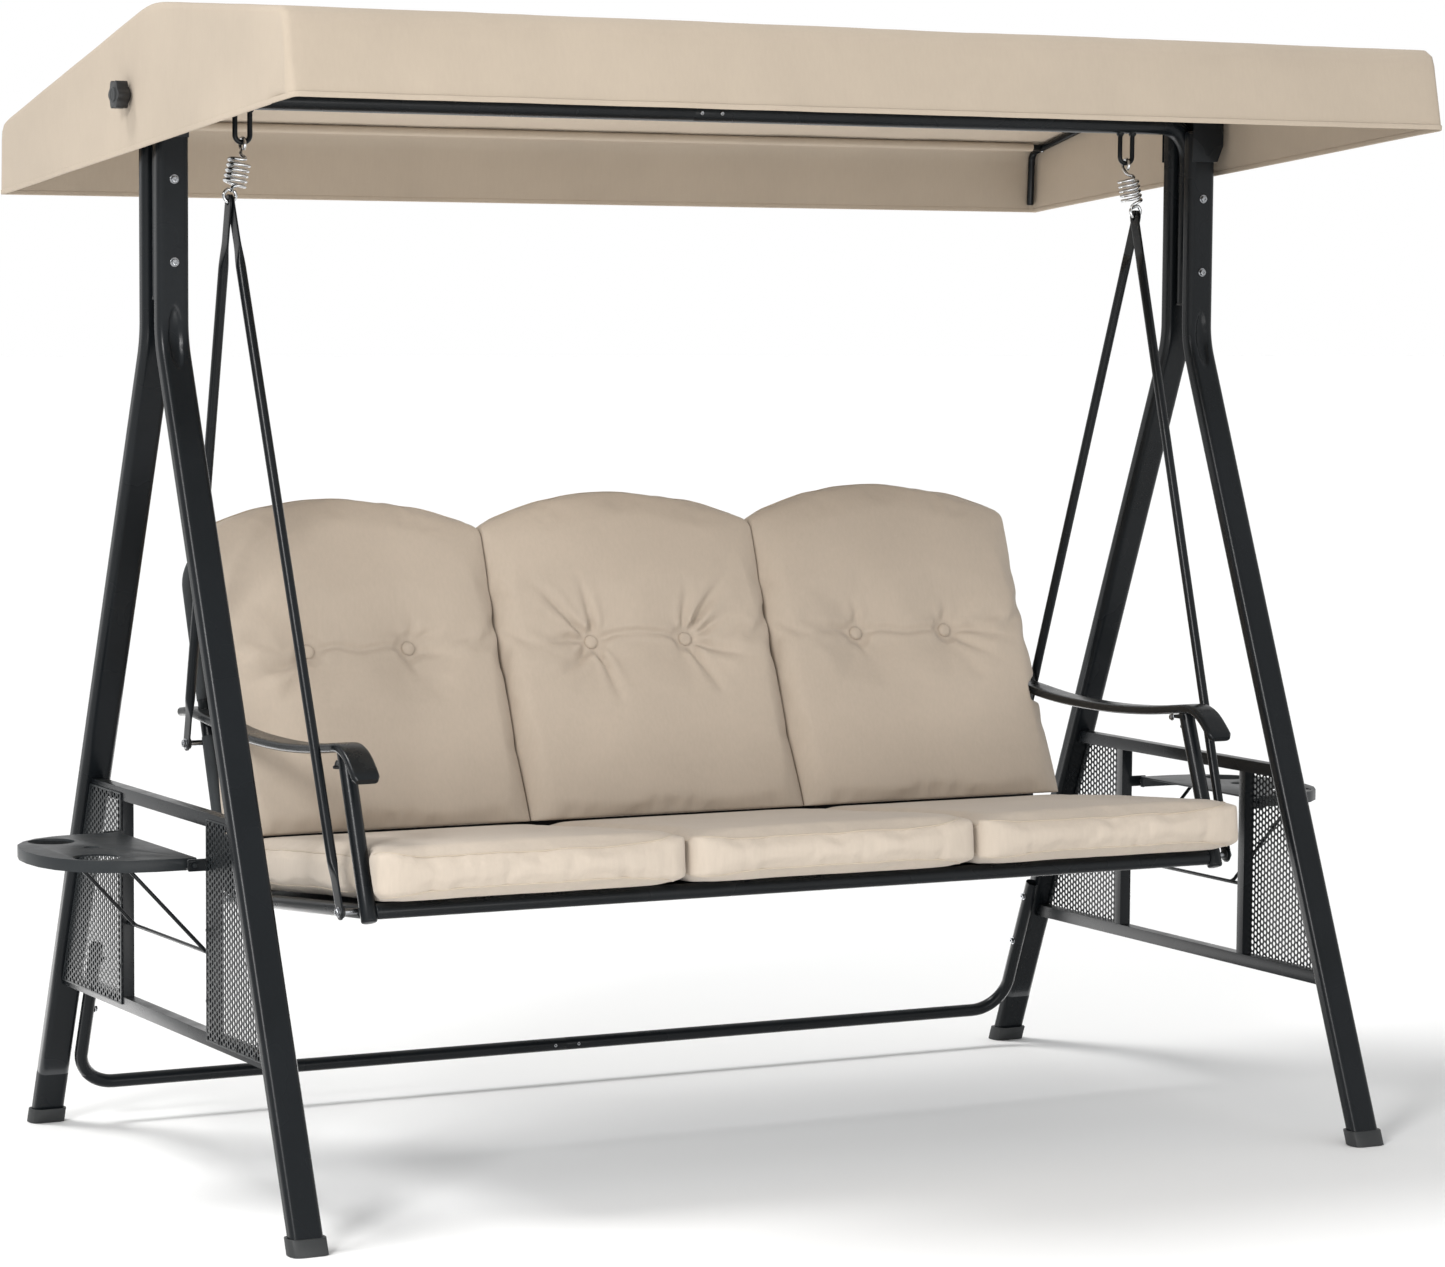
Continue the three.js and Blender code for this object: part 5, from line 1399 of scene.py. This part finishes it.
SEED = {"left": 11.3, "middle": 23.9, "right": 37.1}
for idx_c, cname in enumerate(("left", "middle", "right")):
    cx = (idx_c - 1) * PITCH
    outer_side = idx_c - 1
    seed = SEED[cname]

    # the loose cushions have slid a little along the seat
    sl, sr = {"left": (0.0, 11.0), "middle": (11.0, 16.0), "right": (16.0, 12.0)}[cname]

    # ---------------- seat cushion: x across, v rearwards, t up from the sling
    def press(x, v, t):
        k = (1 - np.abs(x / 244) ** 2.4) * (1 - np.abs((v - 216) / 286) ** 2.4)
        t = t + np.where(t > 41, 1, 0) * 4.5 * np.clip(k, 0, 1)
        return x, v, t

    ob = pad(f"seat_pad_{cname}", 245, -68, 502, 78, 30, 9, 7.5, press)
    inflate(ob, [], 10, 1.3)
    smooth_pass(ob.data, 1)
    fit_out(ob, 253.0, -74.5, 505, 216, 12.9, 99.0)
    refine(ob)
    co = coords(ob.data) / MM
    nrm = vnormals(ob.data)
    x, v, t = co[:, 0], co[:, 1], co[:, 2]
    # soft folds: vertical ones on the front border, a few on the sides, faint hollows on the top
    P3 = co * 0.001
    broad = np.array([noise.noise(Vector((a * 0.006 + seed, b * 0.006, c * 0.01))) for a, b, c in co])
    up = np.array([noise.noise(Vector((a * 0.045 + seed * 3, b * 0.02, c * 0.006))) for a, b, c in co])
    tiny = np.array([noise.noise(Vector((a * 0.11 + seed, b * 0.02 + 5, c * 0.03))) for a, b, c in co])
    side_mask = smoothstep((np.abs(nrm[:, 1]) + np.abs(nrm[:, 0]) - 0.35) / 0.5)
    front_mask = smoothstep((-nrm[:, 1] - 0.3) / 0.5)
    off = 1.9 * broad * (1 - side_mask) + side_mask * (1.5 * up + 0.35 * tiny) + 0.5 * front_mask * tiny
    # one or two deeper puckers that run up the front border from the lower seam
    for k, (px, dep, wid) in enumerate(((-0.62, 2.6, 9), (0.18, 1.7, 7), (0.71, 2.9, 8), (-0.15, 1.3, 6))):
        c0 = px * 243 * (1 if idx_c != 0 else -1) + 6 * math.sin(seed * (k + 1))
        lean = (t - 14) * 0.16 * math.sin(seed + k)
        off -= front_mask * dep * np.exp(-((x - c0 - lean) / wid) ** 2) * smoothstep((86 - t) / 55)
    co2 = np.stack([x, v, t], 1) + nrm * off[:, None]
    x, v, t = co2.T
    # held within its room on the seat: sides, underside, rear top and ends kept inside their limits, and slid a little
    # sideways
    x = keep_in(x, 249.3, 4)
    x = x + sl + (sr - sl) * (x + 249.3) / 498.6
    t = keep_over(t, 12.9, 3)
    rear = smoothstep((v - 360) / 60)
    t = t * (1 - rear) + keep_under(t, 95.4, 3) * rear
    v = keep_in(v - 216, 292, 5) + 216
    if outer_side:
        # round the front post
        X = (x + cx) * outer_side
        tt = np.clip(t, 0, 130)
        base_v, base_t = seat_local(FOOT)
        head_v, head_t = seat_local(HEAD)
        pv = base_v + (tt - base_t) * (head_v - base_v) / (head_t - base_t)
        near = 1 - smoothstep((np.abs(v - pv) - 17) / 30)
        wide = 748.5 + (14.0 * smoothstep((-v - 14) / 14) if outer_side > 0 else 0)
        lim = wide - near * (wide - 724.5)
        X = np.where(X > lim - 4, lim - 4 * np.exp(-(X - lim + 4) / 4), X)
        x = X * outer_side - cx
    put_coords(ob.data, np.stack([x, v, t], 1) * MM)
    smooth_pass(ob.data, 1, 0.3)
    seams = []
    for label, level, updir in (("top", 96.0, 1.9), ("low", 14.0, -1.7)):
        pts, pn = perimeter(246, -70, 503, 40)
        line = [(p[0], p[1], level) for p in pts]
        dirs = [(q[0], q[1], updir) for q in pn]
        seams.append(sewn_edge(f"seat_seam_{label}_{cname}", ob, line, dirs, PIPING_SEAT, 1.35))
    for q in [ob] + seams:
        to_world(q, in_seat, cx)
    ob.data.materials.clear()
    ob.data.materials.append(SEAT_CLOTH)
    stand(ob, "seat", f"seat_cushion_{cname}")
    for q in seams:
        stand(q, "seat", slot="seat_cloth")

    # ---------------- back cushion: x across, v up the back, t towards the sitter from its rear face
    B0 = 62.0
    top_v = BACK_LEN + 62
    shoulder = BACK_LEN + 8.0

    def arch_top(x):
        return shoulder + (top_v - shoulder) * (1 - np.abs(np.clip(x / 238, -1, 1)) ** 2.0)

    def press_back(x, v, t):
        # arched head, thinner towards the rim
        k = np.clip((v - B0) / (top_v - B0), 0, 1)
        v = B0 + (v - B0) * (arch_top(x) - B0) / (top_v - B0)
        rim = (1 - np.abs(x / 244) ** 3.2) * (1 - np.abs((k - 0.45) / 0.56) ** 5)
        t = 4 + t + np.where(t > 35, 1, -0.25) * 11 * np.clip(rim, 0, 1)
        # buttons pull the case in
        for bx in (-87, 87):
            r = np.hypot(x - bx, v - 375)
            t = t - np.where(t > 38, 15 * np.exp(-(r / 34) ** 1.5), -4 * np.exp(-(r / 20) ** 2))
        return x, v, t

    ob = pad(f"back_pad_{cname}", 245, B0, top_v, 66, 20, 20, 7.5, press_back)
    inflate(ob, [(-87, 375, True, 8), (87, 375, True, 8)], 12, 1.5)
    smooth_pass(ob.data, 1)
    fit_out(ob, 254.5, B0 - 4, top_v + 3 + {"left": -4, "middle": 0, "right": 6}[cname], 330)
    refine(ob)
    co = coords(ob.data) / MM
    nrm = vnormals(ob.data)
    x, v, t = co.T.copy()
    # the filling has settled: fuller at the foot, thinner at the head
    t = t * (1 + 0.24 * (1 - 2 * np.clip((v - B0) / (top_v - B0), 0, 1)))
    t = t + 11.9
    facing = smoothstep((nrm[:, 2] - 0.15) / 0.6)
    broad = np.array([noise.noise(Vector((a * 0.0055 + seed, b * 0.0055, c * 0.01))) for a, b, c in co])
    edge_w = np.array([noise.noise(Vector((a * 0.03 + seed, b * 0.03, c * 0.012))) for a, b, c in co])
    off = 2.2 * broad * facing + 1.1 * edge_w * (1 - facing)
    creases = {
        "left": [([(-87, 375), (-40, 381), (0, 372), (45, 379), (87, 375)], 5.0, 5.5), ([(-87, 375), (-120, 352), (-165, 335), (-215, 318)], 5.0, 8), ([(-87, 375), (-112, 338), (-150, 300)], 3.0, 7),
                 ([(87, 375), (112, 392), (150, 404)], 4.0, 6), ([(87, 375), (96, 408), (93, 440)], 3.0, 6), ([(87, 375), (125, 365), (165, 352)], 3.0, 7), ([(87, 375), (84, 345), (100, 312)], 2.6, 6)],
        "middle": [([(-87, 375), (-45, 386), (0, 388), (45, 384), (87, 375)], 6.0, 6), ([(-87, 375), (-118, 404), (-150, 440), (-192, 482)], 7.0, 6), ([(-87, 375), (-84, 410), (-92, 450), (-104, 492)], 6.5, 6),
                   ([(-87, 375), (-130, 380), (-175, 372), (-226, 352)], 5.0, 7), ([(-87, 375), (-120, 340), (-165, 312), (-210, 296)], 5.0, 8), ([(-87, 375), (-72, 335), (-66, 290), (-62, 252)], 6.5, 6),
                   ([(87, 375), (86, 412), (94, 452), (92, 488)], 5.0, 5.5), ([(87, 375), (112, 412), (146, 452), (182, 494)], 7.5, 6), ([(87, 375), (120, 388), (165, 412), (215, 430)], 5.0, 7),
                   ([(87, 375), (125, 358), (170, 342), (226, 332)], 5.5, 7), ([(87, 375), (100, 340), (118, 300), (128, 262)], 6.0, 6.5)],
        "right": [([(-87, 375), (-40, 379), (0, 372), (45, 376), (87, 375)], 4.5, 5.5), ([(-87, 375), (-84, 410), (-98, 446)], 4.0, 5.5), ([(-87, 375), (-130, 382), (-175, 376), (-212, 366)], 3.6, 8),
                  ([(-87, 375), (-84, 346), (-74, 318)], 2.6, 5), ([(87, 375), (90, 410), (84, 440)], 3.8, 5.5), ([(87, 375), (130, 372), (180, 360), (225, 348)], 4.4, 7), ([(87, 375), (120, 350), (160, 322), (200, 300)], 3.6, 8)],
    }[cname]
    for line, depth, wid in creases:
        d, a = seg_dist(x, v, line)
        fade = np.clip(1 - a, 0, 1) ** 0.6 * (0.62 + 0.38 * np.cos(a * 3.0)) * smoothstep((a + 0.02) / 0.04)
        inner = line[0][0] * line[-1][0] < 0
        if inner:
            fade = (0.62 + 0.38 * np.abs(np.cos(a * math.pi))) * 0.72
        w = wid * (0.60 + 0.8 * (a if not inner else 0.25))
        off -= facing * depth * 2.5 * fade * (np.exp(-(d / w) ** 1.15) - (0.18 if inner else 0.40) * np.exp(-((d - 2.3 * w) / (1.4 * w)) ** 2))
    for bx in (-87, 87):
        r = np.hypot(x - bx, v - 375)
        ang = np.arctan2(v - 375, x - bx)
        pleat = 1 + 0.32 * np.sin(ang * 7 + seed) * np.exp(-r / 30)
        off -= facing * 8.5 * np.exp(-(r / 17.5) ** 1.25) * pleat
        off -= (1 - facing) * smoothstep((-nrm[:, 2] - 0.4) / 0.4) * 4.5 * np.exp(-(r / 16) ** 1.5)
    co2 = np.stack([x, v, t], 1) + nrm * off[:, None]
    x, v, t = co2.T
    x = keep_in(x, 249.4, 3)
    t = keep_over(t, 11.95, 3)
    t = keep_under(t, 134, 8)
    # flat seat for each covered button at the bottom of its tuft
    floors = []
    for bx in (-87, 87):
        r = np.hypot(x - bx, v - 375)
        m = (r > 28) & (r < 38) & (t > 32)
        floor_t = np.median(t[m]) - 11.0
        floors.append(float(floor_t))
        wgt = 1 - smoothstep((r - 11.5) / 18)
        t = np.where((t > 20) & (r < 30), t * (1 - wgt) + floor_t * wgt, t)
    # sits on the seat cushion: held above its top plane
    W = in_back(np.stack([x, -t, v], 1))
    u_s, w_s = seat_local(W)
    w_new = keep_over(w_s, 96.6, 5)
    dv = (w_new - w_s) / (sb * sn + cb * cs)
    v = v + dv
    if outer_side:
        W = in_back(np.stack([x, -t, v], 1))
        near = 1 - smoothstep((np.abs(W[:, 2] - arm_z(W[:, 1])) - 11) / 15)
        X = (x + cx) * outer_side
        lim = 748.5 - near * (748.5 - 718.5)
        X = np.where(X > lim - 4, lim - 4 * np.exp(-(X - lim + 4) / 4), X)
        x = X * outer_side - cx
    put_coords(ob.data, np.stack([x, v, t], 1) * MM)
    smooth_pass(ob.data, 1, 0.3)
    # one seam round the border, partway through the thickness
    seams = []
    for label, depth_t, d3 in (("side", 50.0, 0.0),):
        pts, pn = perimeter(246, B0, top_v, 44)
        h = (pts[:, 1] - B0) / (top_v - B0)
        pts[:, 1] = B0 + (pts[:, 1] - B0) * (arch_top(pts[:, 0]) + 6 - B0) / (top_v - B0)
        line = [(p[0], p[1], depth_t) for p in pts]
        dirs = [(q[0], q[1], d3) for q in pn]
        seams.append(sewn_edge(f"back_seam_{label}_{cname}", ob, line, dirs, PIPING, 1.3))
    # covered buttons in the tufts
    bvh = BVHTree.FromPolygons([tuple(p.co) for p in ob.data.vertices], [tuple(p.vertices) for p in ob.data.polygons])
    extra = []
    for k, bx in enumerate((-87, 87)):
        hit = bvh.ray_cast(Vector((bx, 375, 200)) * MM, Vector((0, 0, -1)))
        tz = max(hit[0].z / MM if hit[0] else 80, floors[k]) + 0.5
        bt = lathe(f"tuft_button_{cname}_{k}", [(7, -2.5), (10.6, -1.2), (11.6, 0.8), (11.2, 3.0), (9.2, 4.9), (5.6, 6.1), (1.2, 6.5)], (0, 0, 0), (0, 0, 1), BUTTON_CLOTH, n=28, angle=70)
        c = coords(bt.data) / MM - np.array([0, Y_AXIS, LIFT]) + np.array([bx, 375, tz])
        put_coords(bt.data, c * MM)
        extra.append(bt)
    for q in [ob] + seams + extra:
        to_world(q, in_back, cx)
    ob.data.materials.clear()
    ob.data.materials.append(BACK_CLOTH)
    stand(ob, "seat", f"back_cushion_{cname}")
    for q in seams + extra:
        stand(q, "seat", slot="back_cloth")


# ------------------------------------------------------------------ floor and light
def floor():
    n = 2
    me = bpy.data.meshes.new("floor")
    me.from_pydata([(-60, -60, 0), (60, -60, 0), (60, 60, 0), (-60, 60, 0)], [], [(0, 1, 2, 3)])
    ob = bpy.data.objects.new("floor", me)
    scene.collection.objects.link(ob)
    ob.location.z = -0.0004
    M = Mat("floor_pale")
    M.set(Base_Color=M.mix(M.noise(1.2, 2), lin((238, 238, 238)), lin((241, 241, 240))))
    M.set(Roughness=M.math("ADD", 0.8, M.math("MULTIPLY", M.noise(3.0), 0.05)))
    M.b.inputs["Specular IOR Level"].default_value = 0.1
    me.materials.append(M.m)


def light(name, loc, target, size, power, colour=(1, 1, 1)):
    l = bpy.data.lights.new(name, "AREA")
    l.shape = "RECTANGLE"
    l.size, l.size_y = size
    l.energy = power
    l.color = colour
    ob = bpy.data.objects.new(name, l)
    scene.collection.objects.link(ob)
    ob.location = loc
    ob.rotation_euler = (Vector(target) - Vector(loc)).to_track_quat("-Z", "Y").to_euler()
    return ob


floor()
world = bpy.data.worlds.new("studio")
world.use_nodes = True
wt = world.node_tree
bg = wt.nodes["Background"]
bg.inputs[1].default_value = 1.0
wc, ws, wr, wm = (wt.nodes.new(k) for k in ("ShaderNodeTexCoord", "ShaderNodeSeparateXYZ", "ShaderNodeMapRange", "ShaderNodeMix"))
wt.links.new(wc.outputs["Generated"], ws.inputs[0])
wt.links.new(ws.outputs[2], wr.inputs["Value"])
wr.inputs["From Min"].default_value, wr.inputs["From Max"].default_value = 0.16, 0.62
wm.data_type = "RGBA"
wm.inputs[6].default_value, wm.inputs[7].default_value = (1, 1, 1, 1), (0.66, 0.67, 0.68, 1)
wt.links.new(wr.outputs[0], wm.inputs[0])
wt.links.new(wm.outputs[2], bg.inputs[0])
scene.world = world
sun = bpy.data.lights.new("key", "SUN")
sun.energy, sun.angle, sun.color = 1.7, rad(20), (1.0, 0.995, 0.985)
sun_ob = bpy.data.objects.new("key", sun)
scene.collection.objects.link(sun_ob)
sun_ob.rotation_euler = (Vector((0, 0, 0)) - Vector((-1.6, 0.9, 3.2))).to_track_quat("-Z", "Y").to_euler()
light("front", (-5.4, -4.2, 4.2), (0, 0, 0.8), (1.6, 1.6), 260, (1.0, 0.998, 0.992))
bounce = light("bounce", (-0.6, -3.3, 0.22), (0.1, 0.1, 1.5), (3.4, 0.9), 42, (1.0, 0.99, 0.98))
rear = light("rear_fill", (0.0, 0.85, 0.2), (0.0, 0.3, 1.7), (2.4, 0.7), 13, (1.0, 0.99, 0.98))
rear.visible_camera = False
bounce.visible_camera = False
scene.view_settings.view_transform = "Standard"
scene.view_settings.look = "None"
